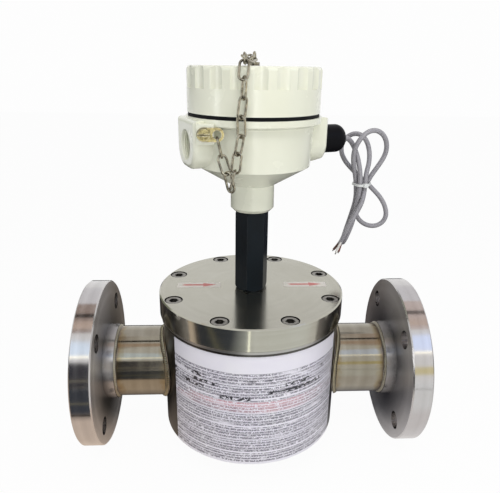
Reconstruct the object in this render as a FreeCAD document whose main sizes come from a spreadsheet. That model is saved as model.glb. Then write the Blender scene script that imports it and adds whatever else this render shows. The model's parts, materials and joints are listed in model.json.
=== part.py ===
import FreeCAD, Part
import Sketcher
import math
import os
import re

from FreeCAD import Placement, Rotation, Vector

# Oval gear flow meter, in millimetres. The origin is the centre of the inlet's raised face,
# +X runs downstream along the pipe and +Z up along the meter's axis.

driving_sizes = {
    # Pipe ends
    "face_to_face": 356,
    "flange_diameter": 177.8,
    "flange_thickness": 22.4,
    "raised_face": 104.8,
    "raised_height": 1.6,
    "bolt_circle": 139.7,
    "bolt_hole": 19.05,
    "hub_diameter": 81,
    "hub_length": 11,
    "edge_break": 1.2,
    "pipe_outer": 76.1,
    "pipe_wall": 5,
    "pipe_clearance": 0.25,
    "pipe_setback": 4,
    "weld_leg": 3.2,
    "hub_weld": 2.4,
    # Body and cover
    "body_diameter": 188,
    "body_depth": 65,
    "body_rise": 65,
    "lip_diameter": 191,
    "lip_height": 5,
    "port_diameter": 50,
    "cover_diameter": 194,
    "cover_thickness": 24,
    "screw_edge": 11,
    "screw_diameter": 10,
    "screw_length": 28,
    "screw_hole": 11,
    "screw_head": 16,
    "screw_socket": 8,
    "screw_sink": 0.6,
    "counterbore": 18.4,
    "tapped_depth": 22,
    "seal_inset": 9,
    "seal_width": 3.6,
    "seal_height": 2.8,
    # Measuring chamber and oval gears
    "chamber_depth": 103,
    "seal_land": 1.95,
    "gear_ovality": 6.6,
    "mesh_clearance": 0.5,
    "chamber_clearance": 0.4,
    "end_clearance": 0.5,
    "tooth_depth": 2.6,
    "shaft_diameter": 14,
    "shaft_seat": 12,
    "shaft_top": 8,
    "shaft_clearance": 0.03,
    "bush_wall": 3,
    "washer_diameter": 24,
    "washer_thickness": 1.5,
    "washer_gap": 0.2,
    "magnet_diameter": 8,
    "magnet_length": 6,
    "magnet_radius": 30.5,
    # Standoff and probe
    "standoff_flats": 30,
    "standoff_length": 85.6,
    "standoff_bore": 14,
    "standoff_turn": 12,
    "standoff_chamfer": 3,
    "spigot_diameter": 24,
    "spigot_length": 17,
    "probe_diameter": 12,
    "probe_gap": 0.2,
    "probe_wall": 3.5,
    "probe_head": 18,
    "probe_head_height": 4,
    # Terminal head
    "head_turn": 20,
    "neck_diameter": 43.4,
    "neck_length": 26.5,
    "neck_round": 3,
    "cone_rise": 20,
    "shoulder_radius": 56,
    "wall_radius": 58,
    "wall_rise": 41,
    "rim_radius": 64.5,
    "rim_height": 5.5,
    "rim_slope": 2.5,
    "thread_radius": 57,
    "thread_height": 15,
    "cavity_radius": 50,
    "ledge_radius": 44,
    "ledge_rise": 4,
    "cavity_floor": 5,
    "floor_radius": 19,
    "boss_reach": 68,
    "boss_width": 54,
    "boss_height": 45,
    "boss_corner": 20,
    "boss_round": 4,
    "boss_slope_rise": 6,
    "boss_slope_run": 16,
    "entry_diameter": 26.4,
    "entry_rise": 21,
    "entry_chamfer": 1.2,
    # Lid
    "lid_diameter": 126,
    "lid_height": 41,
    "lid_top": 4.5,
    "lid_round": 4,
    "lid_wall": 8,
    "lid_clearance": 0.35,
    "lid_thread": 15.5,
    "grip_height": 19,
    "grip_radius": 11,
    "grip_depth": 2.2,
    "lid_seal_height": 3.3,
    "lid_seal_radius": 62.4,
    # Cable gland and cable
    "gland_flats": 27,
    "gland_hex": 6,
    "gland_thread": 14,
    "collet_radius": 9.5,
    "collet_length": 12,
    "gland_bore": 3.2,
    "gland_seal_length": 8,
    "nut_radius": 14.2,
    "nut_length": 27,
    "nut_dome": 10,
    "nut_gap": 0.3,
    "cable_diameter": 5.2,
    "tail_length": 58,
    "tie_width": 2.6,
    "tie_thickness": 1.1,
    "tie_slack": 0.9,
    "core_diameter": 1.7,
    "core_length": 12,
    # Terminal board
    "board_thickness": 1.6,
    "board_gap": 0.4,
    "block_length": 46,
    "block_width": 14,
    "block_height": 15,
    "board_screw": 3,
    "board_screw_circle": 94,
    # Retaining chain
    "chain_wire": 2.2,
    "chain_pitch": 15.6,
    "chain_inner_width": 5.4,
    "chain_slack": 0.12,
    "eye_wire": 2.4,
    "eye_radius": 4.2,
    "eye_shank": 5,
    "eye_clearance": 0.03,
    "eye_collar": 10,
    "eye_collar_height": 2,
    "tab_thickness": 2,
    "tab_width": 12.4,
    "tab_pitch": 11.5,
    "tab_hole": 7.4,
    "tab_screw": 5,
    "tab_screw_head": 11,
    "tab_screw_rise": 3.2,
    "tab_screw_gap": 0.3,
    "pad_width": 15,
    "pad_height": 17,
    "pad_front": 55,
    "pad_left": 52,
    "pad_top": 3.5,
    # Label
    "label_thickness": 0.3,
    "label_height": 123.2,
    "label_arc": 118,
    "label_start": 214,
    "label_lift": 1.4,
}
cover_screw_count = 8
flange_bolt_count = 4
grip_count = 20
tooth_count = 30
terminal_count = 5
board_screw_angles = (35, 155, 275)
weld_crown = 0.7

doc = FreeCAD.newDocument("oval_gear_flow_meter")
sheet = doc.addObject("Spreadsheet::Sheet", "Sizes")
for row, (alias, number) in enumerate(driving_sizes.items(), start=1):
    sheet.set("A%d" % row, alias)
    sheet.set("B%d" % row, str(number))
    sheet.setAlias("B%d" % row, alias)
doc.recompute()

sub_parts = []
directions = {
    "+X": Rotation(Vector(0, 1, 0), 90),
    "+Y": Rotation(Vector(1, 0, 0), -90),
    "+Z": Rotation(),
}

# Heights and places that several pieces share, as expressions of the sheet's cells
middle = "(face_to_face / 2)"
chamber_floor = "(body_rise - chamber_depth)"
gear_bottom = "(body_rise - chamber_depth + end_clearance)"
gear_height = "(chamber_depth - 2 * end_clearance)"
screw_circle = "(cover_diameter - 2 * screw_edge)"
seal_groove = "(%s - 2 * seal_inset)" % screw_circle
# The two gear chambers together reach the land inside the seal groove
gear_mean_radius = ("(((%s - seal_width - mesh_clearance) / 2 - seal_land - gear_ovality"
                    " - chamber_clearance) / 2)" % seal_groove)
gear_offset = "(%s + mesh_clearance / 2)" % gear_mean_radius
chamber_radius = "(%s + gear_ovality + chamber_clearance)" % gear_mean_radius
cover_top = "(body_rise + cover_thickness)"
counterbore_floor = "(body_rise + cover_thickness - screw_diameter - screw_sink)"
standoff_top = "(body_rise + cover_thickness + standoff_length)"
neck_top = "(%s + neck_length)" % standoff_top
shoulder = "(%s + cone_rise)" % neck_top
rim_base = "(%s + wall_rise)" % shoulder
rim_top = "(%s + rim_height)" % rim_base
lid_base = "(%s + lid_seal_height)" % rim_top
lid_crown = "(%s + lid_height)" % lid_base
ledge = "(%s + cavity_floor)" % shoulder
entry_height = "(%s + entry_rise)" % shoulder
nut_end = "(boss_reach + gland_hex + nut_gap + nut_length)"


def size(alias):
    return float(sheet.get(alias))


def worked_out(text):
    return float(sheet.evalExpression(cells(text)))


def cells(text):
    def cell(word):
        return "Sizes." + word.group() if word.group() in driving_sizes else word.group()
    return re.sub(r"[a-z_]+", cell, text)


def bind(piece, **sizes):
    for name, text in sizes.items():
        piece.setExpression(name, cells(text))


def place(piece, x="0", y="0", z="0", along="+Z"):
    piece.Placement = Placement(Vector(), directions[along])
    for axis, text in (("x", x), ("y", y), ("z", z)):
        piece.setExpression("Placement.Base." + axis, cells(text))
    return piece


def turn(piece, angle):
    piece.Placement = Placement(piece.Placement.Base, Rotation(Vector(0, 0, 1), 1))
    piece.setExpression("Placement.Rotation.Angle", cells(angle))
    return piece


def keep(piece, label):
    piece.Label = label
    sub_parts.append(piece)
    return piece


def cylinder(name, radius, height, x="0", y="0", z="0", along="+Z"):
    piece = doc.addObject("Part::Cylinder", name)
    bind(piece, Radius=radius, Height=height)
    return place(piece, x, y, z, along)


def box(name, length, width, height, x="0", y="0", z="0"):
    piece = doc.addObject("Part::Box", name)
    bind(piece, Length=length, Width=width, Height=height)
    return place(piece, x, y, z)


def hexagon(name, flats, height, x="0", y="0", z="0", along="+Z"):
    piece = doc.addObject("Part::Prism", name)
    piece.Polygon = 6
    bind(piece, Circumradius="(%s) / 2 / cos(30)" % flats, Height=height)
    return place(piece, x, y, z, along)


def fuse(name, pieces):
    joined = doc.addObject("Part::MultiFuse", name)
    joined.Shapes = pieces
    return joined


def group(name, pieces):
    together = doc.addObject("Part::Compound", name)
    together.Links = pieces
    return together


def cut(name, base, tools):
    piece = doc.addObject("Part::Cut", name)
    piece.Base = base
    piece.Tool = tools[0] if len(tools) == 1 else fuse(name + "_tools", tools)
    return piece


def common(name, base, tool):
    piece = doc.addObject("Part::Common", name)
    piece.Base = base
    piece.Tool = tool
    return piece


def rounded(name, base, radius, chosen):
    doc.recompute()
    piece = doc.addObject("Part::Fillet", name)
    piece.Base = base
    piece.Edges = [(number, radius, radius)
                   for number, edge in enumerate(base.Shape.Edges, start=1) if chosen(edge)]
    return piece


def origin_feature(body, role):
    return next(feature for feature in body.Origin.OriginFeatures if feature.Role == role)


def closed_outline(body, name, plane, points):
    sketch = body.newObject("Sketcher::SketchObject", name)
    sketch.AttachmentSupport = [(origin_feature(body, plane), "")]
    sketch.MapMode = "FlatFace"
    count = len(points)
    guess = size("screw_diameter")
    rough = [Vector(guess * math.cos(2 * math.pi * i / count), guess * math.sin(2 * math.pi * i / count), 0)
             for i in range(count)]
    for i in range(count):
        sketch.addGeometry(Part.LineSegment(rough[i], rough[(i + 1) % count]), False)
    for i in range(count):
        sketch.addConstraint(Sketcher.Constraint("Coincident", i, 2, (i + 1) % count, 1))
    for i, corner in enumerate(points):
        for kind, start, text in zip(("DistanceX", "DistanceY"), (rough[i].x, rough[i].y), corner):
            number = sketch.addConstraint(Sketcher.Constraint(kind, -1, 1, i, 1, start))
            sketch.setExpression("Constraints[%d]" % number, cells(text))
    return sketch


def revolved(name, points, axis="V_Axis"):
    # The outline lies in the XZ plane: pairs of (x, z), turned about Z (V_Axis) or X (H_Axis).
    body = doc.addObject("PartDesign::Body", name)
    sketch = closed_outline(body, name + "_outline", "XZ_Plane", points)
    feature = body.newObject("PartDesign::Revolution", name + "_turned")
    feature.Profile = sketch
    feature.ReferenceAxis = (sketch, [axis])
    feature.Angle = 360
    doc.recompute()
    return body


def drill_circle(body, name, plane, axis, circle, first_angle, diameter, count, level="0", depth=None):
    # One round hole on a pitch circle, repeated about the body's axis. Without a depth it goes through.
    before = body.Shape.Volume
    sketch = body.newObject("Sketcher::SketchObject", name + "_place")
    sketch.AttachmentSupport = [(origin_feature(body, plane), "")]
    sketch.MapMode = "FlatFace"
    sketch.setExpression("AttachmentOffset.Base.z", cells(level))
    rough = size("bolt_hole")
    sketch.addGeometry(Part.Circle(Vector(rough, rough, 0), Vector(0, 0, 1), rough / 2), False)
    across = sketch.addConstraint(Sketcher.Constraint("DistanceX", -1, 1, 0, 3, rough))
    up = sketch.addConstraint(Sketcher.Constraint("DistanceY", -1, 1, 0, 3, rough))
    wide = sketch.addConstraint(Sketcher.Constraint("Diameter", 0, rough))
    sketch.setExpression("Constraints[%d]" % across, cells("%s / 2 * cos(%s)" % (circle, first_angle)))
    sketch.setExpression("Constraints[%d]" % up, cells("%s / 2 * sin(%s)" % (circle, first_angle)))
    sketch.setExpression("Constraints[%d]" % wide, cells(diameter))
    hole = body.newObject("PartDesign::Pocket", name)
    hole.Profile = sketch
    if depth is None:
        hole.Type = "ThroughAll"
        hole.SideType = "Symmetric"
    else:
        hole.setExpression("Length", cells(depth))
    doc.recompute()
    pattern = body.newObject("PartDesign::PolarPattern", name + "_ring")
    pattern.Originals = [hole]
    pattern.Axis = (origin_feature(body, axis), [""])
    pattern.Angle = 360
    pattern.Occurrences = count
    body.Tip = pattern
    doc.recompute()
    if body.Shape.Volume >= before:
        raise RuntimeError(name + " cuts nothing")


def on_middle(piece):
    piece.setExpression("Placement.Base.x", cells(middle))
    return piece


def in_head(piece):
    return turn(on_middle(piece), "head_turn")


def at_outlet(piece):
    piece.Placement = Placement(Vector(), Rotation(Vector(0, 0, 1), 180))
    piece.setExpression("Placement.Base.x", cells("face_to_face"))
    return piece


# Pipe ends: slip-on raised-face flange, pipe stub coped to the body, weld beads

def flange(name):
    bore = "pipe_outer / 2 + pipe_clearance"
    back = "flange_thickness + hub_length"
    body = revolved(name, [
        ("0", bore),
        ("0", "raised_face / 2"),
        ("raised_height", "raised_face / 2"),
        ("raised_height", "flange_diameter / 2 - edge_break"),
        ("raised_height + edge_break", "flange_diameter / 2"),
        ("flange_thickness - edge_break", "flange_diameter / 2"),
        ("flange_thickness", "flange_diameter / 2 - edge_break"),
        ("flange_thickness", "hub_diameter / 2"),
        (back, "hub_diameter / 2"),
        (back, bore),
    ], "H_Axis")
    drill_circle(body, name + "_bolt", "YZ_Plane", "X_Axis", "bolt_circle", "45", "bolt_hole",
                 flange_bolt_count)
    return body


def pipe_stub(name):
    length = middle + " - pipe_setback"
    wall = cylinder(name + "_wall", "pipe_outer / 2", length, x="pipe_setback", along="+X")
    bore = cylinder(name + "_bore", "pipe_outer / 2 - pipe_wall", length, x="pipe_setback", along="+X")
    shell = cylinder(name + "_cope", "body_diameter / 2", "2 * pipe_outer", x=middle, z="-pipe_outer")
    return cut(name, wall, [bore, shell])


def body_weld(name):
    # A bead that follows the saddle where the pipe meets the round body
    ring = cut(name + "_ring",
               cylinder(name + "_outer", "pipe_outer / 2 + weld_leg", middle, along="+X"),
               [cylinder(name + "_inner", "pipe_outer / 2", middle, along="+X")])
    wall = cut(name + "_band",
               cylinder(name + "_far", "body_diameter / 2 + weld_leg", "2 * pipe_outer", x=middle,
                        z="-pipe_outer"),
               [cylinder(name + "_near", "body_diameter / 2", "2 * pipe_outer", x=middle, z="-pipe_outer")])
    bead = common(name + "_bead", ring, wall)
    reach = size("face_to_face") / 2
    far = size("body_diameter") / 2 + size("weld_leg")
    ridge = size("pipe_outer") / 2 + size("weld_leg")

    def outer_ridge(edge):
        spots = [edge.valueAt(edge.getParameterByLength(share * edge.Length)) for share in (0.1, 0.4)]
        return all(abs(math.hypot(spot.x - reach, spot.y) - far) < 0.01
                   and abs(math.hypot(spot.y, spot.z) - ridge) < 0.01 for spot in spots)
    return rounded(name, bead, weld_crown * size("weld_leg"), outer_ridge)


def hub_weld(name):
    back = "flange_thickness + hub_length"
    return revolved(name, [
        (back, "pipe_outer / 2"),
        (back, "hub_diameter / 2 - edge_break / 2"),
        (back + " + hub_weld", "pipe_outer / 2"),
    ], "H_Axis")


keep(flange("inlet_flange"), "inlet_flange")
keep(at_outlet(flange("outlet_flange")), "outlet_flange")
keep(pipe_stub("inlet_pipe"), "inlet_pipe")
keep(at_outlet(pipe_stub("outlet_pipe")), "outlet_pipe")
keep(group("body_welds", [body_weld("inlet_body_weld"), at_outlet(body_weld("outlet_body_weld"))]),
     "body_welds")
keep(group("flange_welds", [hub_weld("inlet_hub_weld"), at_outlet(hub_weld("outlet_hub_weld"))]),
     "flange_welds")


# Meter body: round casing with a figure-of-eight chamber open at the top

groove_inner = seal_groove + " / 2 - seal_width / 2"
groove_outer = seal_groove + " / 2 + seal_width / 2"
body_blank = revolved("body_blank", [
    ("0", "-body_depth"),
    ("body_diameter / 2 - edge_break", "-body_depth"),
    ("body_diameter / 2", "-body_depth + edge_break"),
    ("body_diameter / 2", "body_rise - lip_height"),
    ("lip_diameter / 2", "body_rise - lip_height"),
    ("lip_diameter / 2", "body_rise"),
    (groove_outer, "body_rise"),
    (groove_outer, "body_rise - seal_height"),
    (groove_inner, "body_rise - seal_height"),
    (groove_inner, "body_rise"),
    ("0", "body_rise"),
])
drill_circle(body_blank, "tapped_hole", "XY_Plane", "Z_Axis", screw_circle, "22.5", "screw_diameter",
             cover_screw_count, "body_rise", "tapped_depth")
chamber_cuts = [cylinder("port", "port_diameter / 2", "body_diameter", x="-body_diameter / 2", along="+X")]
for side, sign in (("a", "-"), ("b", "")):
    offset = sign + gear_offset
    chamber_cuts += [
        cylinder("chamber_" + side, chamber_radius, "chamber_depth", y=offset, z=chamber_floor),
        cylinder("washer_seat_" + side, "washer_diameter / 2 + washer_gap", "washer_thickness",
                 y=offset, z=gear_bottom + " - washer_thickness"),
        cylinder("shaft_seat_" + side, "shaft_diameter / 2", "shaft_seat",
                 y=offset, z=chamber_floor + " - shaft_seat"),
    ]
keep(on_middle(cut("meter_body", body_blank, chamber_cuts)), "meter_body")


# Cover, its seal and its sunk socket screws

cover_blank = revolved("cover_blank", [
    ("0", "body_rise"),
    ("cover_diameter / 2 - edge_break", "body_rise"),
    ("cover_diameter / 2", "body_rise + edge_break"),
    ("cover_diameter / 2", cover_top + " - edge_break"),
    ("cover_diameter / 2 - edge_break", cover_top),
    ("spigot_diameter / 2", cover_top),
    ("spigot_diameter / 2", cover_top + " - spigot_length"),
    ("probe_diameter / 2 + probe_gap", cover_top + " - spigot_length"),
    ("probe_diameter / 2 + probe_gap", "body_rise + probe_wall"),
    ("0", "body_rise + probe_wall"),
])
drill_circle(cover_blank, "screw_hole", "XY_Plane", "Z_Axis", screw_circle, "22.5", "screw_hole",
             cover_screw_count)
drill_circle(cover_blank, "counterbore", "XY_Plane", "Z_Axis", screw_circle, "22.5", "counterbore",
             cover_screw_count, cover_top, "screw_diameter + screw_sink")
shaft_pockets = [cylinder("shaft_pocket_" + side, "shaft_diameter / 2 + shaft_clearance",
                          "shaft_top + end_clearance", y=sign + gear_offset, z="body_rise")
                 for side, sign in (("a", "-"), ("b", ""))]
keep(on_middle(cut("chamber_cover", cover_blank, shaft_pockets)), "chamber_cover")

keep(on_middle(revolved("cover_seal", [
    (groove_inner, "body_rise - seal_height"),
    (groove_outer, "body_rise - seal_height"),
    (groove_outer, "body_rise"),
    (groove_inner, "body_rise"),
])), "cover_seal")


def cover_screw(number):
    angle = "(22.5 + %d * 360 / %d)" % (number, cover_screw_count)
    x = "%s + %s / 2 * cos(%s)" % (middle, screw_circle, angle)
    y = "%s / 2 * sin(%s)" % (screw_circle, angle)
    name = "cover_screw_%d" % number
    head = cylinder(name + "_head", "screw_head / 2", "screw_diameter", x, y, counterbore_floor)
    shank = cylinder(name + "_shank", "screw_diameter / 2", "screw_length",
                     x, y, counterbore_floor + " - screw_length")
    socket = hexagon(name + "_socket", "screw_socket", "screw_diameter / 2",
                     x, y, counterbore_floor + " + screw_diameter / 2")
    return cut(name, fuse(name + "_blank", [head, shank]), [socket])


keep(group("cover_screws", [cover_screw(number) for number in range(cover_screw_count)]), "cover_screws")


# Oval gears: the tip curve is r = mean + ovality * cos(2 angle), so two gears a quarter turn apart
# stay a constant distance apart on the line of centres. The teeth stand in equal steps along it.

mean_radius = worked_out(gear_mean_radius)


def oval_point(angle, inset=0):
    reach = mean_radius + size("gear_ovality") * math.cos(2 * angle) - inset
    return Vector(reach * math.cos(angle), reach * math.sin(angle), 0)


def tooth_angles(shares):
    # Angles at which the tip curve has run through the given shares of its length
    steps = 3600
    angles = [2 * math.pi * i / steps for i in range(steps + 1)]
    run = [0]
    for near, far in zip(angles, angles[1:]):
        run.append(run[-1] + oval_point(far).distanceToPoint(oval_point(near)))
    found = []
    index = 0
    for share in shares:
        while run[index + 1] < share * run[-1]:
            index += 1
        part = (share * run[-1] - run[index]) / (run[index + 1] - run[index])
        found.append(angles[index] + part * (angles[index + 1] - angles[index]))
    return found


def oval_gear(label, quarter_turn, side, magnet_pockets):
    # Shares of one tooth pitch: end of the rising flank, of the tip, of the falling flank, of the root
    stations = ((0.14, 0), (0.52, 0), (0.68, 1), (0.98, 1))
    shares = [(tooth + station) / tooth_count for tooth in range(tooth_count) for station, _ in stations]
    insets = [sunk * size("tooth_depth") for _ in range(tooth_count) for _, sunk in stations]
    corners = [oval_point(angle, inset) for angle, inset in zip(tooth_angles(shares), insets)]
    height = size("chamber_depth") - 2 * size("end_clearance")
    blank = Part.Face(Part.makePolygon(corners + corners[:1])).extrude(Vector(0, 0, height))
    bore = size("shaft_diameter") / 2 + size("shaft_clearance") + size("bush_wall")
    shape = blank.cut(Part.makeCylinder(bore, height))
    if magnet_pockets:
        for way in (-1, 1):
            seat = Vector(way * size("magnet_radius"), 0, height - size("magnet_length"))
            shape = shape.cut(Part.makeCylinder(size("magnet_diameter") / 2, size("magnet_length"), seat))
    gear = doc.addObject("Part::Feature", label)
    gear.Shape = shape
    gear.Placement = Placement(Vector(), Rotation(Vector(0, 0, 1), quarter_turn))
    for axis, text in (("x", middle), ("y", side + gear_offset), ("z", gear_bottom)):
        gear.setExpression("Placement.Base." + axis, cells(text))
    return keep(gear, label)


def gear_set(letter, side):
    y = side + gear_offset
    keep(cylinder("shaft_" + letter, "shaft_diameter / 2", "shaft_seat + chamber_depth + shaft_top",
                  middle, y, chamber_floor + " - shaft_seat"), "gear_%s_shaft" % letter)
    running = "shaft_diameter / 2 + shaft_clearance"
    sleeve = cylinder("sleeve_" + letter, running + " + bush_wall", gear_height, middle, y, gear_bottom)
    bore = cylinder("sleeve_bore_" + letter, running, gear_height, middle, y, gear_bottom)
    keep(cut("bush_" + letter, sleeve, [bore]), "gear_%s_bush" % letter)
    seat = gear_bottom + " - washer_thickness"
    disc = cylinder("washer_disc_" + letter, "washer_diameter / 2", "washer_thickness", middle, y, seat)
    hole = cylinder("washer_hole_" + letter, "shaft_diameter / 2 + washer_gap", "washer_thickness",
                    middle, y, seat)
    return cut("washer_" + letter, disc, [hole])


oval_gear("oval_gear_a", 90, "-", True)
oval_gear("oval_gear_b", 0, "", False)
keep(group("thrust_washers", [gear_set("a", "-"), gear_set("b", "")]), "thrust_washers")
keep(group("gear_magnets", [
    cylinder("magnet_" + name, "magnet_diameter / 2", "magnet_length", middle,
             "-%s %s magnet_radius" % (gear_offset, way), "body_rise - end_clearance - magnet_length")
    for name, way in (("near", "-"), ("far", "+"))]), "gear_magnets")


# Hexagonal standoff between cover and head, and the probe down its bore

corner = "standoff_flats / 2 / cos(30)"
standoff_hull = revolved("standoff_hull", [
    ("0", cover_top),
    ("standoff_flats / 2", cover_top),
    (corner, cover_top + " + standoff_chamfer"),
    (corner, standoff_top + " - standoff_chamfer"),
    ("standoff_flats / 2", standoff_top),
    ("0", standoff_top),
])
standoff_blank = fuse("standoff_blank", [
    common("standoff_hex", hexagon("standoff_prism", "standoff_flats", "standoff_length", z=cover_top),
           standoff_hull),
    cylinder("standoff_spigots", "spigot_diameter / 2", "standoff_length + 2 * spigot_length",
             z=cover_top + " - spigot_length"),
])
standoff = cut("hex_standoff", standoff_blank, [
    cylinder("standoff_hole", "standoff_bore / 2", "standoff_length + 2 * spigot_length",
             z=cover_top + " - spigot_length")])
keep(turn(on_middle(standoff), "standoff_turn"), "hex_standoff")

cavity_bottom = "(%s + cavity_floor)" % neck_top
keep(on_middle(revolved("sensor_probe", [
    ("0", "body_rise + probe_wall"),
    ("probe_diameter / 2", "body_rise + probe_wall"),
    ("probe_diameter / 2", cavity_bottom),
    ("probe_head / 2", cavity_bottom),
    ("probe_head / 2", cavity_bottom + " + probe_head_height"),
    ("0", cavity_bottom + " + probe_head_height"),
])), "sensor_probe")


# Terminal head: turned casting with two conduit bosses, a screw pad and a threaded mouth

head_outside = revolved("head_outside", [
    ("0", standoff_top),
    ("neck_diameter / 2 - neck_round", standoff_top),
    ("neck_diameter / 2", standoff_top + " + neck_round"),
    ("neck_diameter / 2", neck_top),
    ("shoulder_radius", shoulder),
    ("wall_radius", rim_base + " - rim_slope"),
    ("rim_radius", rim_base),
    ("rim_radius", rim_top),
    ("thread_radius", rim_top),
    ("thread_radius", rim_top + " + thread_height"),
    ("0", rim_top + " + thread_height"),
])
boss_bar = box("boss_bar", "2 * boss_reach", "boss_width", "boss_height",
               "-boss_reach", "-boss_width / 2", shoulder)


def under_edge(edge):
    length = 2 * size("boss_reach")
    bottom = min(vertex.Point.z for vertex in boss_bar.Shape.Vertexes)
    return abs(edge.Length - length) < 0.01 and abs(edge.CenterOfMass.z - bottom) < 0.01


def end_edge(edge):
    return abs(abs(edge.CenterOfMass.x) - size("boss_reach")) < 0.01


boss_shape = rounded("boss_shape", boss_bar, size("boss_corner"), under_edge)
# The gland's boss rises underneath towards its outer end
boss_slope = doc.addObject("Part::Wedge", "boss_slope")
bind(boss_slope, Xmin="boss_reach - boss_slope_run", Xmax="boss_reach",
     X2min="boss_reach", X2max="boss_reach", Ymin="0", Ymax="boss_slope_rise",
     Zmin="-boss_width / 2", Zmax="boss_width / 2",
     Z2min="-boss_width / 2", Z2max="boss_width / 2")
boss_slope.Placement = Placement(Vector(), Rotation(Vector(1, 0, 0), 90))
boss_slope.setExpression("Placement.Base.z", cells(shoulder))
bosses = cut("bosses", rounded("boss_ends", boss_shape, size("boss_round"), end_edge), [boss_slope])
# The pad for the chain's tab faces the front of the meter, whatever the head's turn.
tab_x = "(pad_left - tab_width / 2)"
tab_z = "(%s - pad_top - pad_height / 2)" % rim_top
screw_pad = turn(group("screw_pad", [
    box("pad_block", "pad_width", "pad_front", "pad_height", "-pad_left", "-pad_front",
        rim_top + " - pad_top - pad_height")]), "-head_turn")
pad_hole = turn(group("pad_hole", [
    cylinder("pad_drilling", "tab_screw / 2", "2 * tab_screw", "-" + tab_x, "-pad_front", tab_z, "+Y")]),
    "-head_turn")
head_solid = fuse("head_solid", [head_outside, bosses, screw_pad])
head_cavity = revolved("head_cavity", [
    ("0", cavity_bottom),
    ("floor_radius", cavity_bottom),
    ("ledge_radius", ledge + " - ledge_rise"),
    ("ledge_radius", ledge),
    ("cavity_radius", ledge),
    ("cavity_radius", rim_top + " + thread_height"),
    ("0", rim_top + " + thread_height"),
])
entry_mouth = doc.addObject("Part::Cone", "entry_mouth")
bind(entry_mouth, Radius1="entry_diameter / 2 + entry_chamfer", Radius2="entry_diameter / 2",
     Height="entry_chamfer")
place(entry_mouth, x="-boss_reach", z=entry_height, along="+X")
keep(in_head(cut("housing", head_solid, [
    head_cavity,
    cylinder("entry_left", "entry_diameter / 2", "boss_reach - ledge_radius", x="-boss_reach",
             z=entry_height, along="+X"),
    cylinder("entry_right", "entry_diameter / 2", "boss_reach - ledge_radius", x="ledge_radius",
             z=entry_height, along="+X"),
    entry_mouth,
    cylinder("neck_socket", "spigot_diameter / 2", "spigot_length", z=standoff_top),
    cylinder("probe_passage", "probe_diameter / 2 + probe_gap", "neck_length + cavity_floor",
             z=standoff_top),
    pad_hole,
])), "housing")

keep(in_head(revolved("lid_seal", [
    ("thread_radius + lid_clearance", rim_top),
    ("lid_seal_radius", rim_top),
    ("lid_seal_radius", lid_base),
    ("thread_radius + lid_clearance", lid_base),
])), "lid_seal")


# Screw lid with grip scallops round its crown, and the eye that swivels in its middle

lid_bore = "thread_radius + lid_clearance"
lid = revolved("housing_lid", [
    (lid_bore, lid_base),
    ("lid_diameter / 2", lid_base),
    ("lid_diameter / 2", lid_crown),
    ("eye_shank / 2 + eye_clearance", lid_crown),
    ("eye_shank / 2 + eye_clearance", lid_crown + " - lid_top"),
    ("lid_diameter / 2 - lid_wall", lid_crown + " - lid_top"),
    ("lid_diameter / 2 - lid_wall", lid_base + " + lid_thread"),
    (lid_bore, lid_base + " + lid_thread"),
])


def crown_edge(shape):
    reach = size("lid_diameter") / 2
    top = shape.BoundBox.ZMax
    return ["Edge%d" % number for number, edge in enumerate(shape.Edges, start=1)
            if len(edge.Vertexes) == 1 and abs(edge.BoundBox.ZMin - top) < 0.01
            and abs(edge.Length - 2 * math.pi * reach) < 0.01]


lid_turning = lid.Tip
crown = lid.newObject("PartDesign::Fillet", "lid_crown_round")
crown.Base = (lid_turning, crown_edge(lid_turning.Shape))
bind(crown, Radius="lid_round")
doc.recompute()
drill_circle(lid, "grip", "XY_Plane", "Z_Axis", "(lid_diameter + 2 * grip_radius - 2 * grip_depth)", "0",
             "2 * grip_radius", grip_count, lid_crown, "grip_height")
keep(in_head(lid), "housing_lid")

eye_height = "(%s + eye_collar_height + eye_radius)" % lid_crown
eye_ring = doc.addObject("Part::Torus", "eye_ring")
bind(eye_ring, Radius1="eye_radius", Radius2="eye_wire / 2")
place(eye_ring, z=eye_height + " + eye_wire / 2", along="+X")
chain_heading = 11
eye = fuse("lid_eye", [
    eye_ring,
    cylinder("eye_collar", "eye_collar / 2", "eye_collar_height + eye_wire / 2",
             z=lid_crown + " + eye_clearance"),
    cylinder("eye_shank", "eye_shank / 2", "lid_top + 2 * eye_collar_height",
             z=lid_crown + " - lid_top - eye_collar_height"),
    cylinder("eye_nut", "eye_collar / 2", "eye_collar_height",
             z=lid_crown + " - lid_top - eye_collar_height - eye_clearance"),
])
eye.Placement = Placement(Vector(), Rotation(Vector(0, 0, 1), -chain_heading))
keep(on_middle(eye), "lid_eye")


# Terminal board on the ledge inside the head

board_screw_places = [("board_screw_circle / 2 * cos(%d)" % angle,
                       "board_screw_circle / 2 * sin(%d)" % angle) for angle in board_screw_angles]
board = cylinder("board_disc", "cavity_radius - board_gap", "board_thickness", z=ledge)
board_holes = [cylinder("board_hole_%d" % number, "board_screw / 2", "board_thickness", x, y, ledge)
               for number, (x, y) in enumerate(board_screw_places)]
keep(in_head(cut("terminal_board", board, board_holes)), "terminal_board")

board_top = "(%s + board_thickness)" % ledge
block = box("block_body", "block_length", "block_width", "block_height",
            "-block_length / 2", "-block_width / 2", board_top)
way_pitch = "(block_length / %d)" % terminal_count
ways = []
for number in range(terminal_count):
    x = "-block_length / 2 + %s * %.1f" % (way_pitch, number + 0.5)
    ways.append(cylinder("clamp_hole_%d" % number, "block_width / 6", "block_height / 3",
                         x, "0", board_top + " + block_height * 2 / 3"))
    ways.append(cylinder("wire_hole_%d" % number, "core_diameter", "block_width / 3",
                         x, "-block_width / 2", board_top + " + block_height / 3", "+Y"))
keep(in_head(cut("terminal_block", block, ways)), "terminal_block")

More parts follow.
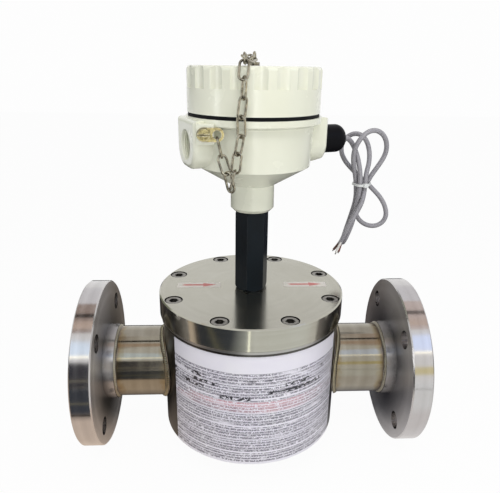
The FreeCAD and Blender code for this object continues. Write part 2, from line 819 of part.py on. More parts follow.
board_screws = []
for number, (x, y) in enumerate(board_screw_places):
    board_screws.append(fuse("board_screw_%d" % number, [
        cylinder("board_screw_head_%d" % number, "board_screw * 0.9", "board_screw * 0.6", x, y, board_top),
        cylinder("board_screw_shank_%d" % number, "board_screw / 2", "board_thickness", x, y, ledge),
    ]))
keep(in_head(group("board_screws", board_screws)), "board_screws")


# Cable gland in the right-hand boss

gland = fuse("gland_blank", [
    cylinder("gland_spigot", "entry_diameter / 2", "gland_thread", x="boss_reach - gland_thread",
             z=entry_height, along="+X"),
    hexagon("gland_flange", "gland_flats", "gland_hex", x="boss_reach", z=entry_height, along="+X"),
    cylinder("gland_collet", "collet_radius", "gland_hex + collet_length", x="boss_reach", z=entry_height,
             along="+X"),
])
keep(in_head(cut("gland_body", gland, [
    cylinder("gland_hole", "gland_bore", "gland_thread + gland_hex + collet_length",
             x="boss_reach - gland_thread", z=entry_height, along="+X")])), "gland_body")

seal_start = "boss_reach + gland_hex + collet_length"
keep(in_head(cut("gland_seal",
                 cylinder("gland_grommet", "collet_radius", "gland_seal_length", x=seal_start,
                          z=entry_height, along="+X"),
                 [cylinder("gland_grommet_hole", "cable_diameter / 2", "gland_seal_length", x=seal_start,
                           z=entry_height, along="+X")])), "gland_seal")

nut_start = "boss_reach + gland_hex + nut_gap"
nut_blank = cylinder("nut_blank", "nut_radius", "nut_length", x=nut_start, z=entry_height, along="+X")


def dome_edge(edge):
    end = size("boss_reach") + size("gland_hex") + size("nut_gap") + size("nut_length")
    return abs(edge.BoundBox.XMin - end) < 0.01


keep(in_head(cut("gland_nut", rounded("nut_dome_shape", nut_blank, size("nut_dome"), dome_edge), [
    cylinder("nut_hollow", "collet_radius + nut_gap", "collet_length + gland_seal_length", x=nut_start,
             z=entry_height, along="+X"),
    cylinder("nut_hole", "cable_diameter / 2 + nut_gap", "nut_length", x=nut_start, z=entry_height,
             along="+X"),
])), "gland_nut")


# Signal cable: a straight tail through the gland, then a tied bundle of loops

keep(in_head(group("cable_tail", [
    cylinder("tail_run", "cable_diameter / 2", "tail_length", x=nut_end + " - tail_length", z=entry_height,
             along="+X")])), "cable_tail")

head_turn = math.radians(size("head_turn"))
outward = Vector(math.cos(head_turn), math.sin(head_turn), 0)
gland_mouth = Vector(size("face_to_face") / 2, 0, size("body_rise") + size("cover_thickness")
                     + size("standoff_length") + size("neck_length") + size("cone_rise")
                     + size("entry_rise"))
gland_mouth += outward * (size("boss_reach") + size("gland_hex") + size("nut_gap") + size("nut_length"))
cable_start = [gland_mouth, gland_mouth + outward * size("cable_diameter")]
cable_route = cable_start + [Vector(*point) for point in (
    # down through the tie
    (284, 39.5, 238), (288.5, 40.5, 231), (292.5, 40, 221.5), (295, 37.5, 211),
    (296.5, 35, 198.5), (296, 34, 184), (295, 36.5, 172), (294.5, 37, 160), (292, 36.3, 148.5),
    (288.3, 35, 138.5), (285, 34.6, 132),
    # the narrow fold, then up through the tie again
    (283.4, 37, 128.2), (284.6, 41, 126.8), (287.6, 44.6, 129), (291.5, 45.6, 138.5), (294.4, 45.3, 150),
    (295.5, 44.6, 161), (295.3, 43.6, 171.5), (295, 42.5, 182), (293, 41, 198), (288.5, 38.5, 212.5),
    (286, 33, 227.5), (290, 32, 239),
    # right loop
    (298, 33, 248), (307, 35, 250.5), (316, 37, 247), (322, 38.5, 238.5), (323.5, 40, 228),
    (320.5, 41, 218.5), (314.5, 41.5, 208.5), (308.5, 41.5, 199), (304.5, 43.5, 187.5), (300.5, 48, 175),
    # lower loop
    (298.5, 50.5, 164), (298.5, 51, 155), (303.5, 50, 147), (312.5, 49, 141.5), (322.5, 48.5, 141),
    (330, 48, 145.5), (333.5, 48, 154), (331, 48.5, 164.5), (325, 50, 174.5), (317, 51.5, 182.5),
    # behind the bundle into the left loop
    (308.5, 52.5, 190.5), (298.5, 52.5, 198.5), (290, 53, 206.5), (282.5, 55, 214.5), (278.5, 59, 224),
    (279.5, 61, 233.5), (284.5, 59, 240.5), (291.5, 55, 244.5), (298.5, 51, 243), (304, 49, 236.5),
    # down through the tie to the free end
    (307, 47, 226.5), (307, 44, 215), (303.5, 39.5, 204), (302.5, 37, 192.5), (302.4, 36.6, 185),
    (299.5, 31, 174), (294, 28.5, 163.5), (288.5, 28.5, 152.5), (284, 29.5, 141), (281.2, 31, 132),
    (279, 32.5, 125.5))]


def rounded_path(points):
    # Straight runs with a tangent arc at each point, as large as the two runs allow
    edges = []
    radii = []
    end = points[0]
    for before, here, after in zip(points, points[1:], points[2:]):
        inward = (here - before).normalize()
        onward = (after - here).normalize()
        half_turn = inward.getAngle(onward) / 2
        setback = 0.45 * min(here.distanceToPoint(before), here.distanceToPoint(after))
        radius = setback / math.tan(half_turn)
        bisector = (onward - inward).normalize()
        arc_start = here - inward * setback
        arc_middle = here + bisector * (radius / math.cos(half_turn) - radius)
        arc_end = here + onward * setback
        edges.append(Part.LineSegment(end, arc_start).toShape())
        edges.append(Part.Arc(arc_start, arc_middle, arc_end).toShape())
        radii.append(radius)
        end = arc_end
    edges.append(Part.LineSegment(end, points[-1]).toShape())
    return Part.Wire(edges), radii


cable_line, cable_radii = rounded_path(cable_route)
cable_section = Part.Wire(Part.Circle(gland_mouth, outward, size("cable_diameter") / 2).toShape())
cable = keep(doc.addObject("Part::Feature", "signal_cable"), "signal_cable")
cable.Shape = cable_line.makePipeShell([cable_section], True, False)
print("cable radii " + " ".join("%.1f" % radius for radius in cable_radii))
print("cable length %.1f, volume over section times length %.4f" % (
    cable_line.Length, cable.Shape.Volume / (cable_line.Length * math.pi * size("cable_diameter") ** 2 / 4)))

# Tie: a flat band round the four strands that meet at its height, with its square head at the front
tie_height = 190.5
tied_strands = [Vector(296.4, 34.6, tie_height), Vector(302.5, 37.3, tie_height),
                Vector(305.9, 42.8, tie_height), Vector(294.1, 41.8, tie_height)]
strand_hull = Part.Face(Part.makePolygon(tied_strands + tied_strands[:1]))
band_inside = size("cable_diameter") / 2 + size("tie_slack")
band_outside = band_inside + size("tie_thickness")
band = strand_hull.makeOffset2D(band_outside).cut(strand_hull.makeOffset2D(band_inside))
front = tied_strands[1] - tied_strands[0]
front_out = Vector(front.y, -front.x, 0).normalize()
tie_head = Part.makeBox(2 * size("tie_width"), 3 * size("tie_thickness"), 1.5 * size("tie_width"))
tie_head.Placement = Placement(
    (tied_strands[0] + tied_strands[1]) / 2 + front_out * (band_outside + 2 * size("tie_thickness"))
    - front.normalize() * size("tie_width") - Vector(0, 0, size("tie_width") / 4),
    Rotation(front, front_out * -1, Vector(0, 0, 1), "ZXY"))
tie = keep(doc.addObject("Part::Feature", "cable_tie"), "cable_tie")
tie.Shape = band.extrude(Vector(0, 0, size("tie_width"))).fuse(tie_head).removeSplitter()

# Three cores stand out of the cut end of the sheath
cable_end = cable_route[-1]
end_run = (cable_route[-1] - cable_route[-2]).normalize()
aside = end_run.cross(Vector(0, 1, 0))
core_ring = 0.6 * size("core_diameter")
cores = keep(doc.addObject("Part::Feature", "cable_cores"), "cable_cores")
cores.Shape = Part.makeCompound([
    Part.makeCylinder(size("core_diameter") / 2, size("core_length"),
                      cable_end + Rotation(end_run, turned).multVec(aside * core_ring), end_run)
    for turned in (0, 120, 240)])


# Tab and screw on the pad, and the retaining chain from the tab to the eye on the lid

tab_left = "%s - %s" % (middle, tab_x)
tab_back = "-pad_front - tab_thickness"
tab_plate = fuse("tab_plate", [
    box("tab_bar", "tab_pitch", "tab_thickness", "tab_width", tab_left, tab_back,
        tab_z + " - tab_width / 2"),
    cylinder("tab_round_left", "tab_width / 2", "tab_thickness", tab_left, tab_back, tab_z, "+Y"),
    cylinder("tab_round_right", "tab_width / 2", "tab_thickness", tab_left + " + tab_pitch", tab_back,
             tab_z, "+Y"),
])
keep(cut("chain_tab", tab_plate, [
    cylinder("tab_screw_hole", "tab_screw / 2 + tab_screw_gap", "tab_thickness", tab_left, tab_back, tab_z,
             "+Y"),
    cylinder("tab_chain_hole", "tab_hole / 2", "tab_thickness", tab_left + " + tab_pitch", tab_back, tab_z,
             "+Y"),
]), "chain_tab")

screw_front = tab_back + " - tab_screw_rise"
keep(cut("tab_screw", fuse("tab_screw_blank", [
    cylinder("tab_screw_head", "tab_screw_head / 2", "tab_screw_rise", tab_left, screw_front, tab_z, "+Y"),
    cylinder("tab_screw_shank", "tab_screw / 2", "tab_screw_rise + tab_thickness + 2 * tab_screw",
             tab_left, screw_front, tab_z, "+Y"),
]), [
    box("tab_screw_slot", "tab_screw_head", "tab_screw_rise / 2", "tab_screw_gap * 5",
        tab_left + " - tab_screw_head / 2", screw_front, tab_z + " - tab_screw_gap * 2.5"),
]), "tab_screw")


def chain_link():
    # An oval of round wire, long way along Z, lying in the XZ plane
    wire = size("chain_wire") / 2
    bow = (size("chain_inner_width") + size("chain_wire")) / 2
    half = (size("chain_pitch") - size("chain_inner_width")) / 2
    pieces = []
    for side in (1, -1):
        ring = Part.Circle(Vector(side * bow, 0, side * half), Vector(0, 0, 1), wire)
        section = Part.Face(Part.Wire(ring.toShape()))
        pieces.append(section.revolve(Vector(0, 0, side * half), Vector(0, 1, 0), -180))
        pieces.append(section.extrude(Vector(0, 0, -2 * side * half)))
    return pieces[0].fuse(pieces[1:]).removeSplitter()


def chain_strand(first_wire, links):
    # Each link is given by its heading from the front towards -X, its dip and its spin about its own
    # length. first_wire is the middle of the first bow. Every later bow hooks inside the one before it,
    # and bears on it along the line where the two links' planes cross.
    bow = (size("chain_inner_width") + size("chain_wire")) / 2
    half = (size("chain_pitch") - size("chain_inner_width")) / 2
    hooked = 2 * bow - size("chain_wire") - size("chain_slack")
    placed = []
    for heading, dip, spin in links:
        level = math.cos(math.radians(dip))
        along = Vector(-math.sin(math.radians(heading)) * level, -math.cos(math.radians(heading)) * level,
                       -math.sin(math.radians(dip)))
        flat = Vector(math.cos(math.radians(heading)), -math.sin(math.radians(heading)), 0)
        across = Rotation(along, spin).multVec(flat)
        normal = along.cross(across)
        if placed:
            bearing = last_normal.cross(normal).normalize()
            centre = last_centre + bearing * math.copysign(hooked, bearing.dot(along))
        else:
            centre = first_wire + along * bow
        link = chain_link()
        link.Placement = Placement(centre + along * half, Rotation(across, normal, along, "ZXY"))
        placed.append(link)
        last_centre = centre + along * 2 * half
        last_normal = normal
    return placed


meter_axis = Vector(size("face_to_face") / 2, 0, 0)
crown_height = gland_mouth.z - size("entry_rise") + size("wall_rise") + size("rim_height")
crown_height += size("lid_seal_height") + size("lid_height")
eye_reach = size("eye_radius") - (size("eye_wire") + size("chain_wire")) / 2 - 3 * size("chain_slack")
eye_height = crown_height + size("eye_collar_height") + size("eye_radius") + size("eye_wire") / 2
eye_bow = meter_axis + Vector(-eye_reach * math.sin(math.radians(chain_heading)),
                              -eye_reach * math.cos(math.radians(chain_heading)), eye_height)
lid_strand = chain_strand(eye_bow, [
    # across the lid
    (19, 5, -35), (-1, 0, 46), (23, -7, -33), (6, -2, 91),
    # over the edge and down past the rim
    (10, 60, 0), (107, 87, 143), (98, 83, 47), (97, 92, 120), (115, 79, 20), (117, 83, 86),
    # back towards the tab
    (124, 72, -29)])
tab_height = crown_height - size("lid_height") - size("lid_seal_height") - size("pad_top")
tab_height -= size("pad_height") / 2
tab_bow = meter_axis + Vector(
    size("tab_width") / 2 - size("pad_left") + size("tab_pitch"),
    -size("pad_front") - size("tab_thickness") / 2,
    tab_height - size("tab_hole") / 2 + size("chain_wire") / 2 + 5 * size("chain_slack"))
tab_strand = chain_strand(tab_bow, [(-56, 74, -32), (-56, 67, 38), (-57, 73, 97)])
chain = keep(doc.addObject("Part::Feature", "retaining_chain"), "retaining_chain")
chain.Shape = Part.makeCompound(lid_strand + tab_strand)


# Paper label round the front of the body

label_sheet = cylinder("label_sheet", "body_diameter / 2 + label_thickness", "label_height",
                       z="-body_depth + label_lift")
bind(label_sheet, Angle="label_arc")
label = cut("label", label_sheet, [
    cylinder("label_back", "body_diameter / 2", "label_height", z="-body_depth + label_lift")])
keep(turn(on_middle(label), "label_start"), "label")


doc.recompute()
for item in doc.Objects:
    if "Invalid" in item.State or "Error" in item.State:
        raise RuntimeError("%s did not compute" % item.Name)
for piece in sub_parts:
    if piece.Shape.isNull() or not piece.Shape.isValid() or not piece.Shape.Solids:
        raise RuntimeError("%s is not a sound solid" % piece.Label)
os.makedirs("parts", exist_ok=True)
for piece in sub_parts:
    piece.Shape.exportStep("parts/%s.step" % piece.Label)
print("%d sub-parts written" % len(sub_parts))
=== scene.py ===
import json
import math

import bmesh
import bpy
from mathutils import Matrix, Vector


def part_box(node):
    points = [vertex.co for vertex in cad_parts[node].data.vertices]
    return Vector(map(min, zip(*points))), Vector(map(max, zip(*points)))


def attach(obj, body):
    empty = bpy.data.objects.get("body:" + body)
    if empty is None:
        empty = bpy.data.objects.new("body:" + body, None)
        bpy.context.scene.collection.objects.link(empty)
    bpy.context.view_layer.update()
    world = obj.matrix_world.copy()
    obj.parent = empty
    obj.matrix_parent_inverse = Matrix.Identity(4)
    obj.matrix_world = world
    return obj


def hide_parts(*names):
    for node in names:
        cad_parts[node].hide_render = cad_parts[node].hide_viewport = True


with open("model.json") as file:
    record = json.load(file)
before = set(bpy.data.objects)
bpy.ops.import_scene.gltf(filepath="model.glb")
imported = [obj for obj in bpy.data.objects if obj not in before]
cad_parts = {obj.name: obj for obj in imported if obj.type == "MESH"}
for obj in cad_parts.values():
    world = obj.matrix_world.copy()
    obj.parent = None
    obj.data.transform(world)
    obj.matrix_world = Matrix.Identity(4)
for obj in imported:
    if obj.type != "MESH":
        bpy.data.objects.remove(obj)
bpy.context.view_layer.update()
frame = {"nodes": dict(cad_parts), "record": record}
nodes = frame["nodes"]
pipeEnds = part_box("inlet_flange")[0].x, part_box("outlet_flange")[1].x
meterX = sum(pipeEnds) / 2  # the meter's upright axis stands half way between the flange faces
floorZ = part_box("inlet_flange")[0].z
print("frame loaded:", len(nodes), "nodes, meter axis at x", round(meterX, 4))


# Small helpers for objects and shader nodes

def addObject(name, data):
    piece = bpy.data.objects.new(name, data)
    bpy.context.scene.collection.objects.link(piece)
    return piece


def tone(red, green, blue):
    # screen colour, 0 to 255, to the linear colour that a shader takes
    def linear(channel):
        share = channel / 255
        return share / 12.92 if share <= 0.04045 else ((share + 0.055) / 1.055) ** 2.4
    return linear(red), linear(green), linear(blue), 1


def addNode(tree, kind, **settings):
    node = tree.nodes.new("ShaderNode" + kind)
    for name, value in settings.items():
        setattr(node, name, value)
    return node


def feed(tree, value, socket):
    # a socket is wired in, a number or colour is typed in
    if isinstance(value, bpy.types.NodeSocket):
        tree.links.new(value, socket)
    else:
        socket.default_value = value


def calc(tree, operation, *values):
    node = addNode(tree, "Math", operation=operation)
    for socket, value in zip(node.inputs, values):
        feed(tree, value, socket)
    return node.outputs[0]


def spread(tree, value, low, high, toLow=0.0, toHigh=1.0):
    node = addNode(tree, "MapRange")
    for name, part in (("Value", value), ("From Min", low), ("From Max", high),
                       ("To Min", toLow), ("To Max", toHigh)):
        feed(tree, part, node.inputs[name])
    return node.outputs["Result"]


def blendColours(tree, share, first, second, way="MIX"):
    node = addNode(tree, "Mix", data_type="RGBA", blend_type=way)
    feed(tree, share, node.inputs["Factor"])
    feed(tree, first, node.inputs[6])
    feed(tree, second, node.inputs[7])
    return node.outputs[2]


def times(tree, *values):
    total = values[0]
    for value in values[1:]:
        total = calc(tree, "MULTIPLY", total, value)
    return total


def plus(tree, value, mask, share):
    # the value, raised by the mask times its share
    return calc(tree, "ADD", value, times(tree, mask, share))


def overlay(tree, base, mask, share, colour):
    # a screen colour laid over the base, by the mask times its share
    return blendColours(tree, times(tree, mask, share), base, tone(*colour))


def colourRamp(tree, value, stops):
    # stops are places with their screen colours
    node = addNode(tree, "ValToRGB")
    strip = node.color_ramp.elements
    while len(strip) < len(stops):
        strip.new(0.5)
    for element, (place, colour) in zip(strip, stops):
        element.position = place
        element.color = tone(*colour)
    feed(tree, value, node.inputs["Fac"])
    return node.outputs["Color"]


def cloud(tree, place, scale, detail, roughness=0.5):
    node = addNode(tree, "TexNoise")
    feed(tree, place, node.inputs["Vector"])
    for name, value in (("Scale", scale), ("Detail", detail), ("Roughness", roughness)):
        feed(tree, value, node.inputs[name])
    return node.outputs["Fac"]


def lineCloud(tree, along, detail):
    # noise that runs along one direction only
    node = addNode(tree, "TexNoise", noise_dimensions="1D")
    feed(tree, along, node.inputs["W"])
    node.inputs["Scale"].default_value = 1
    node.inputs["Detail"].default_value = detail
    return node.outputs["Fac"]


def stretched(tree, place, x, y, z):
    node = addNode(tree, "VectorMath", operation="MULTIPLY")
    feed(tree, place, node.inputs[0])
    node.inputs[1].default_value = (x, y, z)
    return node.outputs[0]


def startGroup(name, inputs, outputs, kind="Float"):
    # inputs by name: a number, or None for a place; the outputs are all of one kind
    tree = bpy.data.node_groups.new(name, "ShaderNodeTree")
    for label, value in inputs.items():
        socketType = "NodeSocketVector" if value is None else "NodeSocketFloat"
        socket = tree.interface.new_socket(name=label, in_out="INPUT", socket_type=socketType)
        if value is not None:
            socket.default_value = value
    for label in outputs:
        tree.interface.new_socket(name=label, in_out="OUTPUT", socket_type="NodeSocket" + kind)
    return tree, tree.nodes.new("NodeGroupInput").outputs, tree.nodes.new("NodeGroupOutput").inputs


def useGroup(tree, group, **values):
    node = tree.nodes.new("ShaderNodeGroup")
    node.node_tree = group
    for label, value in values.items():
        feed(tree, value, node.inputs[label])
    return node.outputs


def startMaterial(name, fixed):
    material = bpy.data.materials.new(name)
    material.use_nodes = True
    tree = material.node_tree
    shader = tree.nodes["Principled BSDF"]
    for label, value in fixed.items():
        shader.inputs[label].default_value = value
    return material, tree, shader.inputs


def ownPlace(tree):
    return addNode(tree, "TexCoord").outputs["Object"]


def addBump(tree, height, strength, distance):
    node = addNode(tree, "Bump")
    node.inputs["Strength"].default_value = strength
    node.inputs["Distance"].default_value = distance
    feed(tree, height, node.inputs["Height"])
    return node.outputs["Normal"]


# Effects that several finishes share

def makeRoundPlace(name, upright):
    # distance from the axis, angle about it and place along it, for the meter's axis or the pipe's
    tree, given, result = startGroup(name, {"Place": None}, ("Radius", "Angle", "Along"))
    split = addNode(tree, "SeparateXYZ")
    feed(tree, given["Place"], split.inputs[0])
    x, y, z = split.outputs
    if upright:
        across, out, along = calc(tree, "SUBTRACT", x, meterX), times(tree, y, -1), z
    else:
        across, out, along = y, z, x
    squares = calc(tree, "ADD", calc(tree, "POWER", across, 2), calc(tree, "POWER", out, 2))
    feed(tree, calc(tree, "SQRT", squares), result["Radius"])
    feed(tree, calc(tree, "ARCTAN2", across, out), result["Angle"])
    feed(tree, along, result["Along"])
    return tree


latheLook = {"fineDetail": 2, "bandScale": 0.07, "bandDetail": 3}


def makeLatheLines(look):
    # fine tool lines, with broader bands of lighter and darker cut
    tree, given, result = startGroup("latheLines", {"Along": 0.0, "Pitch": 0.0003}, ("Height", "Band"))
    step = calc(tree, "DIVIDE", given["Along"], given["Pitch"])
    feed(tree, lineCloud(tree, step, look["fineDetail"]), result["Height"])
    feed(tree, lineCloud(tree, times(tree, step, look["bandScale"]), look["bandDetail"]), result["Band"])
    return tree


scratchLook = {"ways": ((0.3, 14), (1.25, 9), (2.2, 20)),  # turn, and changes per metre along the scratch
               "lean": (1, 0.7, 1.3), "across": 1500, "seen": (0.68, 0.74)}


def makeScratches(look):
    # short hair scratches in three directions
    tree, given, result = startGroup("hairScratches", {"Place": None, "Amount": 0.5}, ("Mask",))
    total = 0.0
    for turned, longer in look["ways"]:
        lean = addNode(tree, "VectorRotate", rotation_type="EULER_XYZ")
        feed(tree, given["Place"], lean.inputs["Vector"])
        lean.inputs["Rotation"].default_value = [turned * part for part in look["lean"]]
        hair = cloud(tree, stretched(tree, lean.outputs[0], look["across"], longer, look["across"]), 1, 1)
        total = calc(tree, "MAXIMUM", total, spread(tree, hair, *look["seen"]))
    feed(tree, times(tree, total, given["Amount"]), result["Mask"])
    return tree


handlingLook = {"detail": 4, "ragged": 0.6, "patch": (0.32, 0.7), "speckScale": 2600, "speck": (0.6, 0.75)}


def makeHandling(look):
    # soft cloudy patches where a surface was wiped and handled, and fine specks
    tree, given, result = startGroup("handling", {"Place": None, "Size": 0.03}, ("Patch", "Speck"))
    scale = calc(tree, "DIVIDE", 1.0, given["Size"])
    patch = cloud(tree, given["Place"], scale, look["detail"], look["ragged"])
    feed(tree, spread(tree, patch, *look["patch"]), result["Patch"])
    speck = cloud(tree, given["Place"], look["speckScale"], 1)
    feed(tree, spread(tree, speck, *look["speck"]), result["Speck"])
    return tree


wearLook = {"samples": 6, "bent": (0.01, 0.12), "scale": 320, "worn": (0.35, 0.6)}


def makeOutsideEdges(look):
    # outside edges, broken up: rubbed wear on most finishes, painted shade on the screw head rims
    tree, given, result = startGroup("outsideEdges", {"Place": None, "Reach": 0.0012}, ("Mask",))
    soft = addNode(tree, "Bevel", samples=look["samples"])
    feed(tree, given["Reach"], soft.inputs["Radius"])
    dot = addNode(tree, "VectorMath", operation="DOT_PRODUCT")
    feed(tree, soft.outputs[0], dot.inputs[0])
    feed(tree, addNode(tree, "NewGeometry").outputs["Normal"], dot.inputs[1])
    bent = spread(tree, calc(tree, "SUBTRACT", 1.0, dot.outputs["Value"]), *look["bent"])
    worn = spread(tree, cloud(tree, given["Place"], look["scale"], 3), *look["worn"])
    feed(tree, times(tree, bent, worn), result["Mask"])
    return tree


creviceLook = {"samples": 6, "shut": (0.7, 0.2), "scale": 180, "dirtAndShade": (0.2, 0.7, 0.45)}


def makeCreviceDirtAndShade(look):
    # corners and joints that hold dirt, with painted shade where the corner is shut in
    tree, given, result = startGroup("creviceDirtAndShade", {"Place": None, "Reach": 0.006}, ("Mask",))
    around = addNode(tree, "AmbientOcclusion", samples=look["samples"])
    feed(tree, given["Reach"], around.inputs["Distance"])
    shut = spread(tree, around.outputs["AO"], *look["shut"])
    dirtAndShade = spread(tree, cloud(tree, given["Place"], look["scale"], 3), *look["dirtAndShade"])
    feed(tree, times(tree, shut, dirtAndShade), result["Mask"])
    return tree


skinLook = {"fineShare": 0.5, "broadScale": 0.17, "shadeScale": 0.06, "shade": (0.3, 0.7)}


def makeMouldedSkin(look):
    # low dimples of a cast or sprayed surface, and broad shade
    tree, given, result = startGroup("mouldedSkin", {"Place": None, "Size": 0.002}, ("Height", "Shade"))
    scale = calc(tree, "DIVIDE", 1.0, given["Size"])
    fine = cloud(tree, given["Place"], scale, 2)
    broad = cloud(tree, given["Place"], times(tree, scale, look["broadScale"]), 3)
    shade = cloud(tree, given["Place"], times(tree, scale, look["shadeScale"]), 4)
    feed(tree, plus(tree, broad, fine, look["fineShare"]), result["Height"])
    feed(tree, spread(tree, shade, *look["shade"]), result["Shade"])
    return tree


tintLook = {"scale": 130, "cloud": (0.3, 0.7), "ragged": 0.22, "stops": (
    (0.0, (226, 219, 206)), (0.14, (208, 203, 206)), (0.3, (218, 202, 192)),
    (0.5, (238, 226, 202)), (0.78, (248, 243, 233)), (1.0, (255, 255, 255)))}


def makeWeldTint(look):
    # straw, brown and blue that welding leaves in steel, fading out over Reach
    tree, given, result = startGroup("weldTint", {"Place": None, "Distance": 0.0, "Reach": 0.012},
                                     ("Tint",), "Color")
    share = calc(tree, "DIVIDE", given["Distance"], given["Reach"])
    ragged = spread(tree, cloud(tree, given["Place"], look["scale"], 3), *look["cloud"],
                    -look["ragged"], look["ragged"])
    feed(tree, colourRamp(tree, calc(tree, "ADD", share, ragged), look["stops"]), result["Tint"])
    return tree


uprightPlace = makeRoundPlace("uprightPlace", True)
pipePlace = makeRoundPlace("pipePlace", False)
latheLines = makeLatheLines(latheLook)
hairScratches = makeScratches(scratchLook)
handling = makeHandling(handlingLook)
outsideEdges = makeOutsideEdges(wearLook)
creviceDirtAndShade = makeCreviceDirtAndShade(creviceLook)
mouldedSkin = makeMouldedSkin(skinLook)
weldTint = makeWeldTint(tintLook)
print("shared effects ready")


# Steel finishes

steelCommon = {
    "about": uprightPlace, "grain": 0.0, "grainTurn": 0.25, "hairs": 0.5, "hairDepth": 0.8, "stained": 0.35,
    "edge": (226, 224, 220), "edgeShare": 0.45, "edgeReach": 0.0012,
    "dirtAndShadeReach": 0.004, "grimeAndShade": 0.95, "grimeAndShadeColour": (44, 40, 36), "dirtRough": 0.25,
    "roughBand": 0.1, "roughPatch": 0.08, "bump": 0.1, "bumpDepth": 0.00006,
    "flat": (0.6, 0.9), "darkReflectionColour": (44, 44, 52), "darkReflectionThin": 0.7}


def steelFinish(name, own):
    # bright steel: tool lines, handling, hair scratches, edges, dirt with painted shade in corners and,
    # near a weld, heat colours
    look = {**steelCommon, **own}
    brushed = {"Metallic": 1.0, "Anisotropic": look["grain"], "Anisotropic Rotation": look["grainTurn"]}
    material, tree, shader = startMaterial(name, brushed)
    place = ownPlace(tree)
    around = useGroup(tree, look["about"], Place=place)
    lines = useGroup(tree, latheLines, Along=calc(tree, "ADD", around["Radius"], around["Along"]),
                     Pitch=look["pitch"])
    touched = useGroup(tree, handling, Place=place, Size=look["patch"])
    hairs = useGroup(tree, hairScratches, Place=place, Amount=look["hairs"])
    edgeMask = useGroup(tree, outsideEdges, Place=place, Reach=look["edgeReach"])
    dirtAndShade = useGroup(tree, creviceDirtAndShade, Place=place, Reach=look["dirtAndShadeReach"])
    base = blendColours(tree, lines["Band"], tone(*look["dark"]), tone(*look["light"]))
    base = overlay(tree, base, touched["Patch"], look["stained"], look["stain"])
    # outside edges: rubbed wear on most steels, black painted shade on the screw head rims
    base = overlay(tree, base, edgeMask["Mask"], look["edgeShare"], look["edge"])
    # painted shade, with some dirt, where the crevice mask finds shut-in corners
    base = overlay(tree, base, dirtAndShade["Mask"], look["grimeAndShade"], look["grimeAndShadeColour"])
    rough = plus(tree, look["rough"], lines["Band"], look["roughBand"])
    rough = plus(tree, rough, touched["Patch"], look["roughPatch"])
    rough = plus(tree, rough, dirtAndShade["Mask"], look["dirtRough"])
    if "weldAt" in look:
        distance = 1.0
        for spot in look["weldAt"]:
            gap = calc(tree, "ABSOLUTE", calc(tree, "SUBTRACT", around["Along"], spot))
            distance = calc(tree, "MINIMUM", distance, gap)
        heat = useGroup(tree, weldTint, Place=place, Distance=distance, Reach=look["weldReach"])
        base = blendColours(tree, 1.0, base, heat["Tint"], "MULTIPLY")
    if "satinFace" in look:
        # flat faces are duller than round ones
        across, extra = look["satinFace"]
        facing = addNode(tree, "SeparateXYZ")
        feed(tree, addNode(tree, "NewGeometry").outputs["Normal"], facing.inputs[0])
        flat = spread(tree, calc(tree, "ABSOLUTE", facing.outputs[across]), *look["flat"])
        rough = plus(tree, rough, flat, extra)
    if "faceDarkReflection" in look:
        # painted dark reflection on the faces that look towards the meter, strongest beside the hub,
        # thinned in patches
        fadeRadius, fullRadius, share = look["faceDarkReflection"]
        away = times(tree, facing.outputs["X"], calc(tree, "SUBTRACT", around["Along"], meterX))
        scale = times(tree, spread(tree, around["Radius"], fadeRadius, fullRadius, 0.0, share),
                      spread(tree, touched["Patch"], 0.0, 1.0, 1.0, look["darkReflectionThin"]),
                      calc(tree, "LESS_THAN", away, 0.0), flat)
        base = blendColours(tree, scale, base, tone(*look["darkReflectionColour"]))
    if "hubSatin" in look:
        reach, extra = look["hubSatin"]
        inside = calc(tree, "LESS_THAN", around["Radius"], reach)
        hub = times(tree, inside, calc(tree, "SUBTRACT", 1.0, flat))
        rough = plus(tree, rough, hub, extra)
    if "litLip" in look:
        # a painted highlight on the casing's lip above this height
        above = calc(tree, "GREATER_THAN", around["Along"], look["litLip"])
        base = blendColours(tree, above, base, tone(*look["lipHighlight"]))
    feed(tree, base, shader["Base Color"])
    feed(tree, rough, shader["Roughness"])
    height = calc(tree, "SUBTRACT", lines["Height"], times(tree, hairs["Mask"], look["hairDepth"]))
    feed(tree, addBump(tree, height, look["bump"], look["bumpDepth"]), shader["Normal"])
    if look["grain"]:
        feed(tree, addNode(tree, "Tangent", direction_type="RADIAL", axis=look["axis"]).outputs[0],
             shader["Tangent"])
    return material


bodyRadius = (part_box("meter_body")[1].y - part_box("meter_body")[0].y) / 2
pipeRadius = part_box("inlet_pipe")[1].y
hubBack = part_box("inlet_flange")[1].x
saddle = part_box("inlet_pipe")[1].x

# the crevice reach paints the screw counterbores and gaps dark as painted shade
groundCover = {
    "pitch": 0.00035, "patch": 0.05, "hairs": 0.4, "grain": 0.5, "axis": "Z",
    "dark": (178, 176, 164), "light": (187, 185, 174), "stain": (164, 161, 144),
    "dirtAndShadeReach": 0.007, "rough": 0.09, "roughBand": 0.03, "roughPatch": 0.05, "bump": 0.03,
    "satinFace": ("Z", 0.08)}  # direction that the flat faces look in, added roughness
turnedFlange = {
    "about": pipePlace, "pitch": 0.0005, "patch": 0.05, "hairs": 0.4, "grain": 0.6, "axis": "X",
    "dark": (190, 188, 188), "light": (212, 210, 210), "stain": (180, 172, 165),
    "dirtAndShadeReach": 0.01, "rough": 0.12, "roughBand": 0.05, "roughPatch": 0.05, "bump": 0.08,
    "satinFace": ("X", 0.26), "faceDarkReflection": (0.076, 0.046, 0.88),  # radius where the painted reflection fades out, radius where it is full, share
    "hubSatin": (0.0412, 0.02)}  # radius, added roughness
